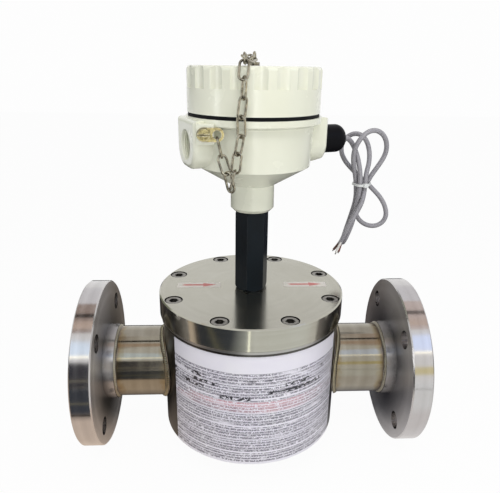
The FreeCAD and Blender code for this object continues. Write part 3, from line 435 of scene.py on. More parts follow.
drawnPipe = {
    "about": pipePlace, "pitch": 0.0009, "patch": 0.022, "grain": 0.6, "axis": "X",
    "dark": (138, 132, 119), "light": (170, 165, 152), "stain": (130, 119, 96), "stained": 0.34,
    "grimeAndShade": 0.6, "rough": 0.1, "roughBand": 0.05, "roughPatch": 0.06,
    "weldReach": 0.011, "weldAt": (hubBack, saddle, 2 * meterX - hubBack, 2 * meterX - saddle)}
# casing colours darker than bare steel: a painted dark reflection of its surroundings
casingSteel = {
    "pitch": 0.0005, "patch": 0.03, "hairs": 0.6, "grain": 0.4, "axis": "Z",
    "dark": (70, 69, 67), "light": (98, 96, 93), "stain": (62, 59, 55), "stained": 0.4,
    "dirtAndShadeReach": 0.007, "grimeAndShade": 0.6, "rough": 0.24, "roughBand": 0.08, "bump": 0.12,
    "litLip": 0.0624, "lipHighlight": (176, 174, 170)}  # above this height the lip gets a painted highlight
gearSteel = {
    "pitch": 0.0008, "patch": 0.02, "dark": (146, 146, 148), "light": (190, 190, 190),
    "stain": (130, 126, 118), "grimeAndShade": 0.6, "rough": 0.24, "roughPatch": 0.07}
# the black edge colour paints shade on the screw head rims
screwSteel = {
    "pitch": 0.0004, "patch": 0.008, "hairs": 0.3,
    "dark": (128, 126, 120), "light": (168, 165, 158), "stain": (96, 90, 82), "stained": 0.4,
    "dirtAndShadeReach": 0.007, "rough": 0.26, "edge": (10, 10, 10), "edgeShare": 1.0, "edgeReach": 0.0024}
weldSteel = {
    "about": pipePlace, "pitch": 0.003, "patch": 0.005, "hairs": 0.2, "grimeAndShade": 0.9, "rough": 0.12,
    "dark": (112, 105, 86), "light": (188, 180, 154), "stain": (104, 92, 66), "stained": 0.5}
# the long crevice reach and full share paint shade on the links' inner sides and where they lie against the
# housing
chainWire = {
    "pitch": 0.0004, "patch": 0.004, "hairs": 0.3, "dirtAndShadeReach": 0.008, "grimeAndShade": 1.0, "rough": 0.12,
    "dark": (52, 46, 36), "light": (236, 228, 204), "stain": (60, 52, 38), "stained": 0.4}
yellowZinc = {
    "pitch": 0.0003, "patch": 0.003, "rough": 0.16, "roughPatch": 0.1, "bump": 0.12,
    "dark": (136, 124, 80), "light": (196, 187, 142), "stain": (84, 74, 46), "stained": 0.7}


# Painted, moulded and printed finishes

coatCommon = {
    "coat": 0.0, "coatRough": 0.18, "shine": 0.5, "handled": 0.03, "speck": 0.1, "roughPatch": 0.1,
    "dirtAndShadeShare": 0.3, "dirtAndShadeReach": 0.003, "dirtRough": 0.2, "bump": 0.25, "depth": 0.00005}


def coatedFinish(name, own):
    # paint, plastic or rubber: skin of fine dimples, broad shade, specks, dirt with painted shade in
    # corners, rubbed edges
    look = {**coatCommon, **own}
    material, tree, shader = startMaterial(name, {
        "Coat Weight": look["coat"], "Coat Roughness": look["coatRough"],
        "Specular IOR Level": look["shine"]})
    place = ownPlace(tree)
    skin = useGroup(tree, mouldedSkin, Place=place, Size=look["dimple"])
    dirtAndShade = useGroup(tree, creviceDirtAndShade, Place=place, Reach=look["dirtAndShadeReach"])
    edgeMask = useGroup(tree, outsideEdges, Place=place)
    touched = useGroup(tree, handling, Place=place, Size=look["handled"])
    base = blendColours(tree, skin["Shade"], tone(*look["shade"]), tone(*look["colour"]))
    base = overlay(tree, base, touched["Speck"], look["speck"], look["dirtAndShade"])
    # painted shade, with some dirt, in shut-in corners
    base = overlay(tree, base, dirtAndShade["Mask"], look["dirtAndShadeShare"], look["dirtAndShade"])
    base = overlay(tree, base, edgeMask["Mask"], look["wear"], look["bare"])
    feed(tree, base, shader["Base Color"])
    rough = plus(tree, look["rough"], touched["Patch"], look["roughPatch"])
    feed(tree, plus(tree, rough, dirtAndShade["Mask"], look["dirtRough"]), shader["Roughness"])
    feed(tree, addBump(tree, skin["Height"], look["bump"], look["depth"]), shader["Normal"])
    return material


ivoryEnamel = {
    "colour": (239, 240, 223), "shade": (233, 234, 215), "dirtAndShade": (180, 174, 148), "bare": (249, 249, 239),
    "dirtAndShadeShare": 0.35, "dirtAndShadeReach": 0.006, "speck": 0.02, "wear": 0.35, "rough": 0.26, "roughPatch": 0.02,
    "dimple": 0.0035, "bump": 0.14, "depth": 0.00012, "coat": 0.5}
blackAnodise = {
    "colour": (8, 19, 27), "shade": (5, 13, 19), "dirtAndShade": (30, 31, 32), "bare": (66, 70, 74),
    "dirtAndShadeShare": 0.4, "dirtAndShadeReach": 0.004, "wear": 0.4, "rough": 0.3, "roughPatch": 0.12,
    "dimple": 0.0012, "bump": 0.15, "shine": 0.18}
glandNylon = {
    "colour": (9, 9, 14), "shade": (6, 6, 10), "dirtAndShade": (24, 24, 28), "bare": (40, 40, 46),
    "wear": 0.25, "rough": 0.42, "roughPatch": 0.12, "dimple": 0.0007, "bump": 0.3, "depth": 0.00006,
    "shine": 0.1}
sealRubber = {
    "colour": (12, 13, 16), "shade": (8, 9, 11), "dirtAndShade": (36, 35, 34), "bare": (28, 28, 30),
    "dirtAndShadeShare": 0.4, "speck": 0.2, "wear": 0.2, "rough": 0.6, "roughPatch": 0.15,
    "dimple": 0.0009, "bump": 0.3, "depth": 0.00006, "shine": 0.15}
cableSheath = {
    "colour": (156, 154, 160), "shade": (143, 141, 147), "dirtAndShade": (98, 93, 92), "bare": (166, 164, 168),
    "dirtAndShadeShare": 0.45, "dirtAndShadeReach": 0.004, "speck": 0.12, "wear": 0.1, "rough": 0.3,
    "dimple": 0.0016, "depth": 0.00008, "shine": 0.7}
tieNylon = {
    "colour": (232, 234, 234), "shade": (222, 224, 224), "dirtAndShade": (190, 186, 176), "bare": (246, 246, 242),
    "dirtAndShadeReach": 0.002, "speck": 0.05, "wear": 0.1, "rough": 0.36, "dimple": 0.0008, "bump": 0.2}
carbonBush = {
    "colour": (52, 52, 54), "shade": (40, 40, 42), "dirtAndShade": (30, 30, 30), "bare": (84, 84, 86),
    "speck": 0.15, "wear": 0.2, "rough": 0.45, "dimple": 0.0006}
boardLacquer = {
    "colour": (44, 104, 62), "shade": (34, 88, 52), "dirtAndShade": (30, 60, 40), "bare": (150, 150, 110),
    "wear": 0.3, "rough": 0.34, "dimple": 0.001, "bump": 0.15, "depth": 0.00004, "coat": 0.3}


formLabel = {
    "paper": (231, 228, 240), "aged": (237, 235, 243), "ink": (92, 88, 104), "bold": (34, 32, 42),
    "red": (192, 138, 150), "top": 0.0596, "radius": 0.0943, "blank": 0.0186, "bottom": 0.1212,
    "left": -0.094, "right": 0.101, "fineRow": 0.0031, "entryRow": 0.0062, "block": 0.0155, "gap": 0.09,
    "entries": (0.0255, 0.0505), "redRows": (0.050, 0.0625),
    "strikeDown": (0.0392, 0.0405), "strikeAlong": (0.016, 0.066),
    "fineBand": (0.14, 0.84), "ruleBand": (0.0, 0.05), "entryBand": (0.14, 0.8),  # shares of a row's height
    # marks: changes per metre along the row, row seed, bare and full level, changes per metre down
    "stroke": (900, 3.7, 0.38, 0.5, 640), "word": (140, 5.1, 0.3, 0.38, 0.0),
    "rowPart": (16, 8.3, 0.3, 0.4, 0.0), "rule": (9, 7.7, 0.44, 0.48, 0.0),
    "redPart": (14, 4.3, 0.42, 0.6, 0.0), "entryPart": (24, 11.3, 0.54, 0.57, 0.0),
    "penStroke": (380, 2.9, 0.46, 0.52, 420),
    "printShare": 0.85, "patch": 0.04, "coat": 0.12, "coatRough": 0.25, "rough": 0.36, "inkRough": 0.1,
    "ripple": (30, 30, 14), "rippleBump": 0.2, "rippleDepth": 0.0005}


def labelFinish(look):
    # a filled-in form: rows of greeked marks, a block of bold entries, red rows and rules, and no letters
    film = {"Coat Weight": look["coat"], "Coat Roughness": look["coatRough"]}
    material, tree, shader = startMaterial("formLabel", film)
    place = ownPlace(tree)
    around = useGroup(tree, uprightPlace, Place=place)
    along = times(tree, around["Angle"], look["radius"])
    down = calc(tree, "SUBTRACT", look["top"], around["Along"])

    def within(value, low, high):
        return times(tree, calc(tree, "GREATER_THAN", value, low), calc(tree, "LESS_THAN", value, high))

    def marks(row, kind):
        # one noise along each row; where it also changes down the row, it gives strokes like writing
        perMetre, seed, bare, full, tall = look[kind]
        spot = addNode(tree, "CombineXYZ")
        for socket, value, scale in zip(spot.inputs, (along, row, down), (perMetre, seed, tall)):
            feed(tree, times(tree, value, scale), socket)
        return spread(tree, cloud(tree, spot.outputs[0], 1, 2), bare, full)

    fine = calc(tree, "DIVIDE", down, look["fineRow"])
    fineRow, inFine = calc(tree, "FLOOR", fine), calc(tree, "FRACT", fine)
    entry = calc(tree, "DIVIDE", down, look["entryRow"])
    entryRow, inEntry = calc(tree, "FLOOR", entry), calc(tree, "FRACT", entry)
    sheet = times(tree, within(down, look["blank"], look["bottom"]),
                  within(along, look["left"], look["right"]))
    # small print: strokes in words, in rows of uneven length, with a clear line between blocks
    inBlock = calc(tree, "FRACT", calc(tree, "DIVIDE", down, look["block"]))
    smallPrint = times(tree, marks(fineRow, "stroke"), marks(fineRow, "word"), marks(fineRow, "rowPart"),
                       within(inFine, *look["fineBand"]),
                       calc(tree, "GREATER_THAN", inBlock, look["gap"]), sheet)
    rules = times(tree, within(inEntry, *look["ruleBand"]), marks(entryRow, "rule"), sheet)
    # heavier entries filled in by hand, in the block below the blank heading, and one ruled through
    filled = times(tree, marks(entryRow, "entryPart"), marks(entryRow, "penStroke"),
                   within(inEntry, *look["entryBand"]), within(down, *look["entries"]), sheet)
    strike = times(tree, within(down, *look["strikeDown"]), within(along, *look["strikeAlong"]))
    filled = calc(tree, "MAXIMUM", filled, strike)
    reddened = times(tree, within(down, *look["redRows"]), marks(entryRow, "redPart"))
    ink = blendColours(tree, reddened, tone(*look["ink"]), tone(*look["red"]))
    base = blendColours(tree, useGroup(tree, handling, Place=place, Size=look["patch"])["Patch"],
                        tone(*look["paper"]), tone(*look["aged"]))
    printed = times(tree, calc(tree, "MAXIMUM", smallPrint, rules), look["printShare"])
    base = blendColours(tree, printed, base, ink)
    base = blendColours(tree, filled, base, tone(*look["bold"]))
    feed(tree, base, shader["Base Color"])
    feed(tree, plus(tree, look["rough"], smallPrint, look["inkRough"]), shader["Roughness"])
    ripple = cloud(tree, stretched(tree, place, *look["ripple"]), 1, 2)
    feed(tree, addBump(tree, ripple, look["rippleBump"], look["rippleDepth"]), shader["Normal"])
    return material


finishes = {
    "ground_steel": steelFinish("groundCover", groundCover),
    "flange_steel": steelFinish("turnedFlange", turnedFlange),
    "pipe_steel": steelFinish("drawnPipe", drawnPipe),
    "body_steel": steelFinish("casingSteel", casingSteel),
    "gear_steel": steelFinish("gearSteel", gearSteel),
    "screw_steel": steelFinish("screwSteel", screwSteel),
    "weld_steel": steelFinish("weldSteel", weldSteel),
    "chain_steel": steelFinish("chainWire", chainWire),
    "brass_tab": steelFinish("yellowZinc", yellowZinc),
    "ivory_paint": coatedFinish("ivoryEnamel", ivoryEnamel),
    "black_standoff": coatedFinish("blackAnodise", blackAnodise),
    "black_plastic": coatedFinish("glandNylon", glandNylon),
    "black_rubber": coatedFinish("sealRubber", sealRubber),
    "cable_grey": coatedFinish("cableSheath", cableSheath),
    "tie_white": coatedFinish("tieNylon", tieNylon),
    "bearing_carbon": coatedFinish("carbonBush", carbonBush),
    "board_green": coatedFinish("boardLacquer", boardLacquer),
    "label_paper": labelFinish(formLabel),
}
coreColours = {"coreRed": (140, 84, 76), "coreBrown": (104, 76, 68), "coreWhite": (240, 236, 232)}
coreShade = 0.9
coreFinishes = []
for name, colour in coreColours.items():
    shade = tuple(int(channel * coreShade) for channel in colour)
    coreFinishes.append(coatedFinish(name, {**tieNylon, "colour": colour, "shade": shade, "bare": colour}))
finishes["core_red"] = coreFinishes[0]
tinnedWire = steelFinish("tinnedWire", {**chainWire, "dark": (168, 166, 162), "light": (214, 212, 208)})
paleBead = steelFinish("paleBead", {
    **weldSteel, "dark": (116, 110, 98), "light": (178, 172, 156), "stain": (98, 90, 70)})
arrowRed = coatedFinish("arrowRed", {
    **tieNylon, "colour": (202, 112, 106), "shade": (192, 102, 98), "bare": (214, 132, 124)})
arrowFilm = coatedFinish("arrowFilm", {**tieNylon, "colour": (224, 219, 212), "shade": (212, 206, 196)})

for row in frame["record"]["subparts"]:
    node = nodes[row["node"]]
    node.data.materials.clear()
    node.data.materials.append(finishes[row["material_slot"]])


# Signal cable: from the gland, up and down in tied loops, to its stripped end

signalCable = {
    "diameter": 0.0052, "length": 0.684,  # metres; the route is in millimetres
    "route": [
        (273.19, 34.65, 242.1), (278.08, 36.43, 242.1), (284, 39.5, 238), (288.5, 40.5, 231),
        (292.5, 40, 221.5), (295, 37.5, 211), (296.5, 35, 198.5), (296, 34, 184), (295, 36, 172),
        (294, 36.5, 160), (291.5, 35.3, 149), (288.3, 33.6, 140), (285.2, 33.8, 131.5),
        (283.6, 39, 124.2), (285, 47, 122.6), (287.5, 53.5, 127), (290, 55, 135.5), (292, 52.4, 146),
        (293.3, 48.6, 156.5), (294.6, 45.4, 166), (295.2, 43.4, 174), (295, 42.5, 182), (293, 41, 198),
        (288.5, 38.5, 212.5), (286, 33, 227.5), (290, 32, 239), (298, 33, 248), (307, 35, 250.5),
        (316, 37, 247), (322, 38.5, 238.5), (323.5, 40, 228), (320.5, 41, 218.5), (314.5, 41.5, 208.5),
        (308.5, 41.5, 199), (304.5, 43.5, 187.5), (300.5, 48, 175), (298.5, 50.5, 164),
        (298.5, 51, 155), (303.5, 50, 147), (312.5, 49, 141.5), (322.5, 48.5, 141), (330, 48, 145.5),
        (333.5, 48, 154), (331, 48.5, 164.5), (325, 50, 174.5), (317, 51.5, 182.5),
        (308.5, 52.5, 190.5), (298.5, 52.5, 198.5), (290, 53, 206.5), (282.5, 55, 214.5),
        (278.5, 59, 224), (279.5, 61, 233.5), (284.5, 59, 240.5), (291.5, 55, 244.5), (298.5, 51, 243),
        (304, 49, 236.5), (307, 47, 226.5), (307, 44, 215), (303.5, 39.5, 204), (302.5, 37, 192.5),
        (302.4, 36.6, 185), (299.5, 31, 174), (294, 28.5, 163.5), (288.5, 28.5, 152.5),
        (284, 29.5, 141), (281.2, 31, 132), (279, 32.5, 125.5)]}
cableRoute = [Vector(point) / 1000 for point in signalCable["route"]]


def smoothCurve(name, points, radius, finish):
    # a round flexible piece along one smooth line that has these control points
    curve = bpy.data.curves.new(name, "CURVE")
    curve.dimensions = "3D"
    curve.resolution_u = 8
    curve.bevel_depth = radius
    curve.bevel_resolution = 6
    curve.use_fill_caps = True
    spline = curve.splines.new("NURBS")
    spline.points.add(len(points) - 1)
    for control, point in zip(spline.points, points):
        control.co = (*point, 1)
    spline.order_u = 3
    spline.use_endpoint_u = True
    curve.materials.append(finish)
    return addObject(name, curve)


cable = smoothCurve("signalCable", cableRoute, signalCable["diameter"] / 2, finishes["cable_grey"])
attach(cable, "meter")
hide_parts("signal_cable")

# Three cores spread a little out of the cut sheath, each with a bare tinned tip
strippedEnd = {"coreRadius": 0.0014, "tipRadius": 0.0007, "ring": 0.0013, "sleeve": 0.0105, "tip": 0.0128,
               "spread": 3.0, "start": -0.003, "overlap": 0.001, "firstTurn": 20}
endWay = (cableRoute[-1] - cableRoute[-2]).normalized()
endSide = endWay.cross(Vector((0, 1, 0))).normalized()
endFront = endSide.cross(endWay)


def corePath(turn, begin, end):
    # four points straight out of the sheath, fanning out towards the tip
    offset = (endSide * math.cos(turn) + endFront * math.sin(turn)) * strippedEnd["ring"]
    points = []
    for share in range(4):
        step = begin + (end - begin) * share / 3
        fan = 1 + (strippedEnd["spread"] - 1) * max(step, 0) / strippedEnd["tip"]
        points.append(cableRoute[-1] + endWay * step + offset * fan)
    return points


for number, finish in enumerate(coreFinishes):
    turn = math.radians(strippedEnd["firstTurn"] + 360 / len(coreFinishes) * number)
    sleeveLine = corePath(turn, strippedEnd["start"], strippedEnd["sleeve"])
    tipLine = corePath(turn, strippedEnd["sleeve"] - strippedEnd["overlap"], strippedEnd["tip"])
    sleeve = smoothCurve("core%d" % (number + 1), sleeveLine, strippedEnd["coreRadius"], finish)
    tip = smoothCurve("coreTip%d" % (number + 1), tipLine, strippedEnd["tipRadius"], tinnedWire)
    for piece, slot in ((sleeve, "core_red"), (tip, "chain_steel")):
        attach(piece, "meter")
    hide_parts("cable_cores")
print("cable laid, with", len(coreFinishes), "cores")


# Meshes made point by point

def meshPiece(name, points, faces, finishList):
    mesh = bpy.data.meshes.new(name)
    mesh.from_pydata(points, [], faces)
    build = bmesh.new()
    build.from_mesh(mesh)
    bmesh.ops.recalc_face_normals(build, faces=build.faces)
    build.to_mesh(mesh)
    build.free()
    for finish in finishList:
        mesh.materials.append(finish)
    piece = addObject(name, mesh)
    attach(piece, "meter")
    return piece


def sweptFaces(rings, around, closed):
    # quads between rings of equal count, round and round; an open sweep gets its two end caps
    faces = []
    for ring in range(rings if closed else rings - 1):
        here, there = ring * around, (ring + 1) % rings * around
        for i in range(around):
            j = (i + 1) % around
            faces.append((here + i, here + j, there + j, there + i))
    if not closed:
        faces += [tuple(range(around)), tuple((rings - 1) * around + i for i in range(around))]
    return faces


# Weld beads: rippled fillets where the stubs meet the body and the flange hubs

bodySeam = {"pipeLeg": 0.0036, "wallLeg": 0.0019, "crown": 0.0004, "pitch": 0.0024, "ripple": 0.0004}
hubSeam = {"pipeLeg": 0.003, "wallLeg": 0.0017, "crown": 0.0004, "pitch": 0.0022, "ripple": 0.00026}
seamDetail = {
    "stepsPerRipple": 7, "across": 9, "sink": 0.00006, "root": 0.0004, "lag": 2.2, "beatSway": 0.05,
    "waves": ((0.06, 7, 0), (0.05, 17, 1))}  # size, number round the pipe, start


def bodyWall(side):
    return lambda turn, radius: meterX + side * math.sqrt(bodyRadius ** 2 - (radius * math.sin(turn)) ** 2)


def hubWall(side):
    return lambda turn, radius: meterX + side * (meterX - hubBack)


def seamRings(wall, away, seam):
    # each ring: the bead's face from the pipe's toe to the wall's toe, then its root inside the metal
    ripples = round(2 * math.pi * pipeRadius / seam["pitch"])
    count = ripples * seamDetail["stepsPerRipple"]
    sink, deep = seamDetail["sink"], seamDetail["root"]
    rings = []
    for step in range(count):
        turn = 2 * math.pi * step / count
        beat = 2 * math.pi * step / seamDetail["stepsPerRipple"]
        ragged = 1 + seamDetail["beatSway"] * math.sin(beat)
        for size, number, start in seamDetail["waves"]:
            ragged += size * math.sin(number * turn + start)
        foot = wall(turn, pipeRadius)
        top = pipeRadius + seam["wallLeg"] * ragged
        toe = Vector((foot + away * seam["pipeLeg"] * ragged, pipeRadius - sink, 0))
        head = Vector((wall(turn, top) - away * sink, top, 0))
        root = Vector((foot - away * deep, pipeRadius - deep, 0))
        out = ((toe + head) / 2 - root).normalized()
        line = []
        for i in range(seamDetail["across"]):
            share = i / (seamDetail["across"] - 1)
            hump = math.sin(math.pi * share)
            wave = math.cos(beat - seamDetail["lag"] * hump) / 2  # ripples trail behind at the crown
            line.append(toe.lerp(head, share) + out * (seam["crown"] * hump + seam["ripple"] * hump * wave))
        rings.append([(p.x, p.y * math.sin(turn), p.y * math.cos(turn)) for p in line + [root]])
    return rings


def weldSeam(name, wallOf, away, seam, node, finish):
    points, faces = [], []
    for side in (-1, 1):
        rings = seamRings(wallOf(side), side * away, seam)
        start = len(points)
        points += [point for ring in rings for point in ring]
        faces += [tuple(start + i for i in face) for face in sweptFaces(len(rings), len(rings[0]), True)]
    piece = meshPiece(name, points, faces, [finish])
    piece.data.polygons.foreach_set("use_smooth", [True] * len(piece.data.polygons))
    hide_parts(node)


weldSeam("bodySeams", bodyWall, 1, bodySeam, "body_welds", finishes["weld_steel"])
weldSeam("hubSeams", hubWall, -1, hubSeam, "flange_welds", paleBead)
print("weld seams laid")


# Thread in the open conduit entry

entry = next(mount for mount in frame["record"]["mounts"] if mount["name"] == "conduit_entry")
entryThread = {"pitch": 0.0018, "height": 0.0009, "turns": 10, "steps": 48, "start": 0.0068, "sink": 0.0002,
               "foot": 0.46, "crest": 0.08}  # half widths, as shares of the pitch


def cutThread(look):
    axis = Vector(entry["axis"])
    across = axis.cross(Vector((0, 0, 1))).normalized()
    up = across.cross(axis)
    radius = entry["dims"]["r_mm"] / 1000
    mouth = Vector(entry["pos_m"]) + axis * look["start"]
    points = []
    count = look["turns"] * look["steps"] + 1
    for step in range(count):
        turn = 2 * math.pi * step / look["steps"]
        way = across * math.cos(turn) + up * math.sin(turn)
        fade = min(1, step / look["steps"], (count - 1 - step) / look["steps"])
        centre = mouth - axis * look["pitch"] * step / look["steps"]
        ridge, groove = radius - look["height"] * fade, radius + look["sink"]
        for reach, shift in ((groove, look["foot"]), (ridge, look["crest"]),
                             (ridge, -look["crest"]), (groove, -look["foot"])):
            points.append(centre + way * reach + axis * shift * look["pitch"])
    meshPiece("entryThread", points, sweptFaces(count, 4, False), [finishes["ivory_paint"]])


cutThread(entryThread)
print("entry thread cut")


# Two flow arrows on the cover: a white strip with a plain red arrow that points downstream

flowArrow = {"size": (0.046, 0.0125), "corner": 0.002, "cornerSteps": 4, "film": 0.00012, "ink": 0.00004,
             "y": 0.0035, "centres": (-0.0555, 0.0585), "shaft": 0.0036, "head": (0.014, 0.0092),
             "margin": 0.0045, "notch": 0.004}
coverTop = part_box("chamber_cover")[1].z


def flatSolid(outline, low, high):
    count = len(outline)
    points = [(x, y, low) for x, y in outline] + [(x, y, high) for x, y in outline]
    faces = [tuple(range(count)), tuple(range(count, 2 * count))]
    faces += [(i, (i + 1) % count, count + (i + 1) % count, count + i) for i in range(count)]
    return points, faces


def stripOutline(look):
    halfX, halfY, corner = look["size"][0] / 2, look["size"][1] / 2, look["corner"]
    outline = []
    for quarter, (signX, signY) in enumerate(((1, 1), (-1, 1), (-1, -1), (1, -1))):
        for step in range(look["cornerSteps"] + 1):
            turn = math.radians(90 * (quarter + step / look["cornerSteps"]))
            outline.append((signX * (halfX - corner) + corner * math.cos(turn),
                            signY * (halfY - corner) + corner * math.sin(turn)))
    return outline


def arrowOutline(look):
    tip, back = look["size"][0] / 2 - look["margin"], look["margin"] - look["size"][0] / 2
    neck, halfHead, halfShaft = tip - look["head"][0], look["head"][1] / 2, look["shaft"] / 2
    return [(tip, 0), (neck, halfHead), (neck, halfShaft), (back, halfShaft), (back + look["notch"], 0),
            (back, -halfShaft), (neck, -halfShaft), (neck, -halfHead)]


def addArrow(name, centre, look):
    strip, stripFaces = flatSolid(stripOutline(look), 0, look["film"])
    arrow, arrowFaces = flatSolid(arrowOutline(look), look["film"], look["film"] + look["ink"])
    start = len(strip)
    faces = stripFaces + [tuple(start + i for i in face) for face in arrowFaces]
    points = [(meterX + centre + x, look["y"] + y, coverTop + z) for x, y, z in strip + arrow]
    piece = meshPiece(name, points, faces, [arrowFilm, arrowRed])
    for number, face in enumerate(piece.data.polygons):
        face.material_index = 1 if number >= len(stripFaces) else 0


for name, centre in zip(("inletArrow", "outletArrow"), flowArrow["centres"]):
    addArrow(name, centre, flowArrow)
print("flow arrows on")


# Camera, floor and light

cameraStand = {"place": (0.14964, -0.50076, 0.31257), "yaw": 3.06, "pitch": 19.61, "roll": -0.84,
               "lens": 36.71, "sensor": 36.0, "nearest": 0.01}


def setCamera(stand):
    yaw, pitch, roll = (math.radians(stand[name]) for name in ("yaw", "pitch", "roll"))
    ahead = Vector((math.sin(yaw) * math.cos(pitch), math.cos(yaw) * math.cos(pitch), -math.sin(pitch)))
    level = Vector((math.cos(yaw), -math.sin(yaw), 0))
    down = ahead.cross(level)
    right = level * math.cos(roll) + down * math.sin(roll)
    up = level * math.sin(roll) - down * math.cos(roll)
    data = bpy.data.cameras.new("photoCamera")
    data.sensor_fit = "HORIZONTAL"
    data.sensor_width = stand["sensor"]
    data.lens = stand["lens"]
    data.clip_start = stand["nearest"]
    camera = addObject("photoCamera", data)
    turned = Matrix((right, up, -ahead)).transposed().to_4x4()
    camera.matrix_world = Matrix.Translation(stand["place"]) @ turned
    bpy.context.scene.camera = camera


studio = {"fill": 0.4, "fillColour": (0.96, 0.98, 1, 1), "backdrop": 0.985, "white": (1, 1, 1, 1),
          "floorHalf": 4.0, "floorShown": 0.96, "floorColour": (232, 232, 230), "floorRough": 0.8,
          "gap": 0.0002, "tableHalf": 1.2, "overhead": 0.95}
aim = Vector((meterX, 0, 0.12))  # lamps and cards face this point
squareCorners = ((-1, -1), (1, -1), (1, 1), (-1, 1))


def showsBackdrop(tree):
    path = addNode(tree, "LightPath").outputs
    seen = calc(tree, "MAXIMUM", path["Is Camera Ray"], path["Is Glossy Ray"])
    return calc(tree, "MAXIMUM", seen, path["Is Transmission Ray"])


def mixShaders(tree, share, first, second, output):
    both = addNode(tree, "MixShader")
    for value, socket in zip((share, first.outputs[0], second.outputs[0]), both.inputs):
        tree.links.new(value, socket)
    tree.links.new(both.outputs[0], tree.nodes[output].inputs["Surface"])


def setWorld(look):
    world = bpy.data.worlds.new("paleRoom")
    bpy.context.scene.world = world
    world.use_nodes = True
    tree = world.node_tree
    lit = tree.nodes["Background"]
    white = addNode(tree, "Background")
    for sky, colour, strength in ((lit, look["fillColour"], look["fill"]),
                                  (white, look["white"], look["backdrop"])):
        sky.inputs["Color"].default_value = colour
        sky.inputs["Strength"].default_value = strength
    mixShaders(tree, showsBackdrop(tree), lit, white, "World Output")


def stageSheet(name, corners, finish):
    mesh = bpy.data.meshes.new(name)
    mesh.from_pydata(corners, [], [tuple(range(len(corners)))])
    mesh.materials.append(finish)
    piece = addObject(name, mesh)
    return piece


def levelSquare(half, z):
    return [(meterX + x * half, y * half, z) for x, y in squareCorners]


def setFloor(look):
    material, tree, shader = startMaterial("paleFloor", {"Roughness": look["floorRough"]})
    shader["Base Color"].default_value = tone(*look["floorColour"])
    glow = addNode(tree, "Emission")
    glow.inputs["Color"].default_value = look["white"]
    shown = times(tree, showsBackdrop(tree), look["floorShown"])
    mixShaders(tree, shown, tree.nodes["Principled BSDF"], glow, "Material Output")
    stageSheet("paleFloor", levelSquare(look["floorHalf"], floorZ - look["gap"]), material)


def glowFinish(name, colour):
    material, tree = startMaterial(name, {})[:2]
    tree.nodes.remove(tree.nodes["Principled BSDF"])
    glow = addNode(tree, "Emission")
    feed(tree, colour(tree) if callable(colour) else colour, glow.inputs["Color"])
    tree.links.new(glow.outputs[0], tree.nodes["Material Output"].inputs["Surface"])
    return material


def onlyMirrored(piece):
    # a card that polished steel shows, and that neither lights nor shades anything
    for ray in ("camera", "diffuse", "transmission", "volume_scatter", "shadow"):
        setattr(piece, "visible_" + ray, False)


def addCard(name, place, size, colour):
    centre = Vector((meterX, 0, 0)) + Vector(place)
    facing = (aim - centre).normalized()
    overhead = abs(facing.z) >= studio["overhead"]
    side = facing.cross(Vector((0, 1, 0)) if overhead else Vector((0, 0, 1))).normalized()
    up = side.cross(facing)
    corners = [centre + side * x * size[0] / 2 + up * y * size[1] / 2 for x, y in squareCorners]
    onlyMirrored(stageSheet(name, corners, glowFinish(name, colour)))


# The table as steel mirrors it. Spans are in metres, x to the right of the meter and y behind it
tableLook = {
    "farX": (-0.3, 0.2),
    "far": ((0.0, (62, 66, 74)), (0.3, (76, 80, 88)), (0.47, (184, 187, 188)), (0.62, (250, 252, 252))),
    "nearX": (-0.05, 0.05), "near": ((228, 209, 192), (238, 235, 234)), "nearY": (-0.19, -0.14),
    "behindX": (-0.2, 0.2), "behindY": (-0.05, 0.03), "linesFrom": 0.05,
    "behind": ((0.0, (40, 38, 36)), (0.22, (52, 49, 46)), (0.32, (150, 140, 126)),
               (0.5, (134, 126, 118)), (0.72, (62, 62, 72)), (1.0, (48, 48, 56)))}
tableLines = {  # place in front, half width, side of the meter, colour
    "palePlank": (-0.28, 0.008, -1, (150, 144, 118)), "darkPlank": (-0.172, 0.006, -1, (22, 20, 18)),
    "tableEdge": (-0.5, 0.014, 1, (110, 106, 98))}
streak = {"x": -0.028, "half": 0.006, "front": -0.22, "glow": (2.3, 2.3, 2.05, 1)}


def tableColour(tree):
    # dim far out on the left, pale on the right, warm close to the meter, with one bright streak in front
    look = tableLook
    split = addNode(tree, "SeparateXYZ")
    feed(tree, ownPlace(tree), split.inputs[0])
    x, y = calc(tree, "SUBTRACT", split.outputs[0], meterX), split.outputs[1]

    def close(value, place, half):
        return calc(tree, "LESS_THAN", calc(tree, "ABSOLUTE", calc(tree, "SUBTRACT", value, place)), half)

    far = colourRamp(tree, spread(tree, x, *look["farX"]), look["far"])
    near = blendColours(tree, spread(tree, x, *look["nearX"]), *(tone(*colour) for colour in look["near"]))
    front = blendColours(tree, spread(tree, y, *look["nearY"]), far, near)
    for place, half, side, colour in tableLines.values():
        there = calc(tree, "GREATER_THAN", times(tree, x, side), look["linesFrom"])
        front = blendColours(tree, times(tree, close(y, place, half), there), front, tone(*colour))
    shone = times(tree, calc(tree, "LESS_THAN", y, streak["front"]), close(x, streak["x"], streak["half"]))
    front = blendColours(tree, shone, front, streak["glow"])
    behind = colourRamp(tree, spread(tree, x, *look["behindX"]), look["behind"])
    return blendColours(tree, spread(tree, y, *look["behindY"]), front, behind)


def addLamp(name, place, size, power, colour):
    data = bpy.data.lights.new(name, "AREA")
    data.shape = "RECTANGLE"
    data.size, data.size_y = size
    data.energy = power
    data.color = colour
    lamp = addObject(name, data)
    lamp.location = Vector((meterX, 0, 0)) + Vector(place)
    lamp.rotation_euler = (aim - lamp.location).to_track_quat("-Z", "Y").to_euler()
    lamp.visible_glossy = False  # steel mirrors the cards instead


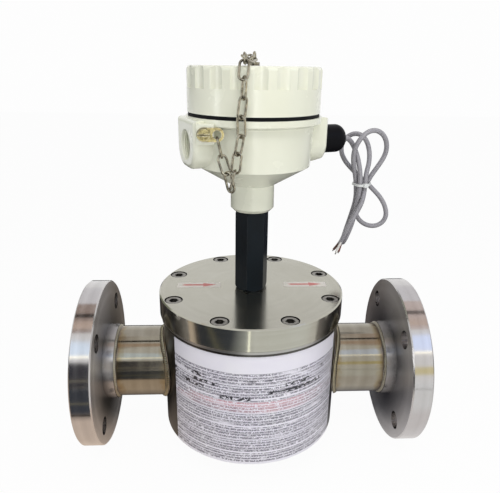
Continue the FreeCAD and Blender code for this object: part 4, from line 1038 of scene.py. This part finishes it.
studioCards = {  # place from the meter's axis, size, colour
    "dimWall": ((-0.72, -1.0, 0.235), (1.25, 0.75), tone(52, 52, 60)),
    "darkLedge": ((-0.72, -0.98, 0.53), (1.25, 0.16), tone(28, 28, 34)),
    "shelfLine": ((-0.72, -0.97, 0.12), (1.25, 0.03), tone(158, 152, 128)),
    "lowShelf": ((-0.72, -0.97, -0.045), (1.25, 0.016), tone(128, 122, 100)),
    "sunLine": ((0, -0.86, 0.62), (2.6, 0.045), (2.4, 2.3, 1.9, 1)),
    "windowLeft": ((-0.62, -0.78, 0.88), (1.2, 0.42), (1.1, 1.28, 1.5, 1)),
    "windowRight": ((0.62, -0.78, 0.88), (1.2, 0.42), (1.1, 1.25, 1.62, 1)),
    "warmWall": ((0.7, -1.05, 0.24), (1.1, 0.2), tone(240, 228, 176)),
    "pinkCeiling": ((0, -0.3, 1.48), (2.6, 0.3), tone(226, 204, 188)),
    "brownCeiling": ((-0.6, 0.02, 1.5), (1.3, 0.34), tone(166, 144, 132)),
    "paleCeiling": ((0.65, 0.02, 1.5), (1.3, 0.34), tone(222, 204, 196)),
    "backCeiling": ((0, 0.95, 1.12), (2.8, 0.95), tone(240, 239, 242)),
    "darkBeam": ((0, 0.06, 1.46), (2.6, 0.15), tone(34, 27, 22)),
    "stripCentre": ((0.01, -1.02, 0.2), (0.09, 0.5), (4.6, 4.6, 4.5, 1)),
    "stripLeft": ((-1.05, -0.5, 0.24), (0.12, 0.45), (5.0, 5.1, 5.2, 1)),
    "leftBack": ((-1.1, 0.9, 0.75), (0.8, 1.2), tone(150, 154, 138)),
}
studioLamps = {  # place from the meter's axis, size, power, colour
    "windowLight": ((-0.1, -0.75, 1.2), (0.9, 0.36), 5.6, (1, 0.99, 0.97)),
    "frontLight": ((0.35, -1.5, 0.55), (0.9, 0.7), 6.2, (1, 0.99, 0.97)),
    "topLight": ((0.2, 0.1, 1.4), (1.0, 0.8), 3.6, (1, 1, 1)),
    "sideLight": ((1.2, -0.3, 0.5), (0.6, 0.8), 0.8, (0.97, 0.98, 1)),
}
setCamera(cameraStand)
setWorld(studio)
setFloor(studio)
onlyMirrored(stageSheet("mirroredTable", levelSquare(studio["tableHalf"], floorZ + studio["gap"]),
                        glowFinish("mirroredTable", tableColour)))
for name, settings in studioCards.items():
    addCard(name, *settings)
for name, settings in studioLamps.items():
    addLamp(name, *settings)
bpy.context.scene.view_settings.view_transform = "Standard"
print("camera and light set")
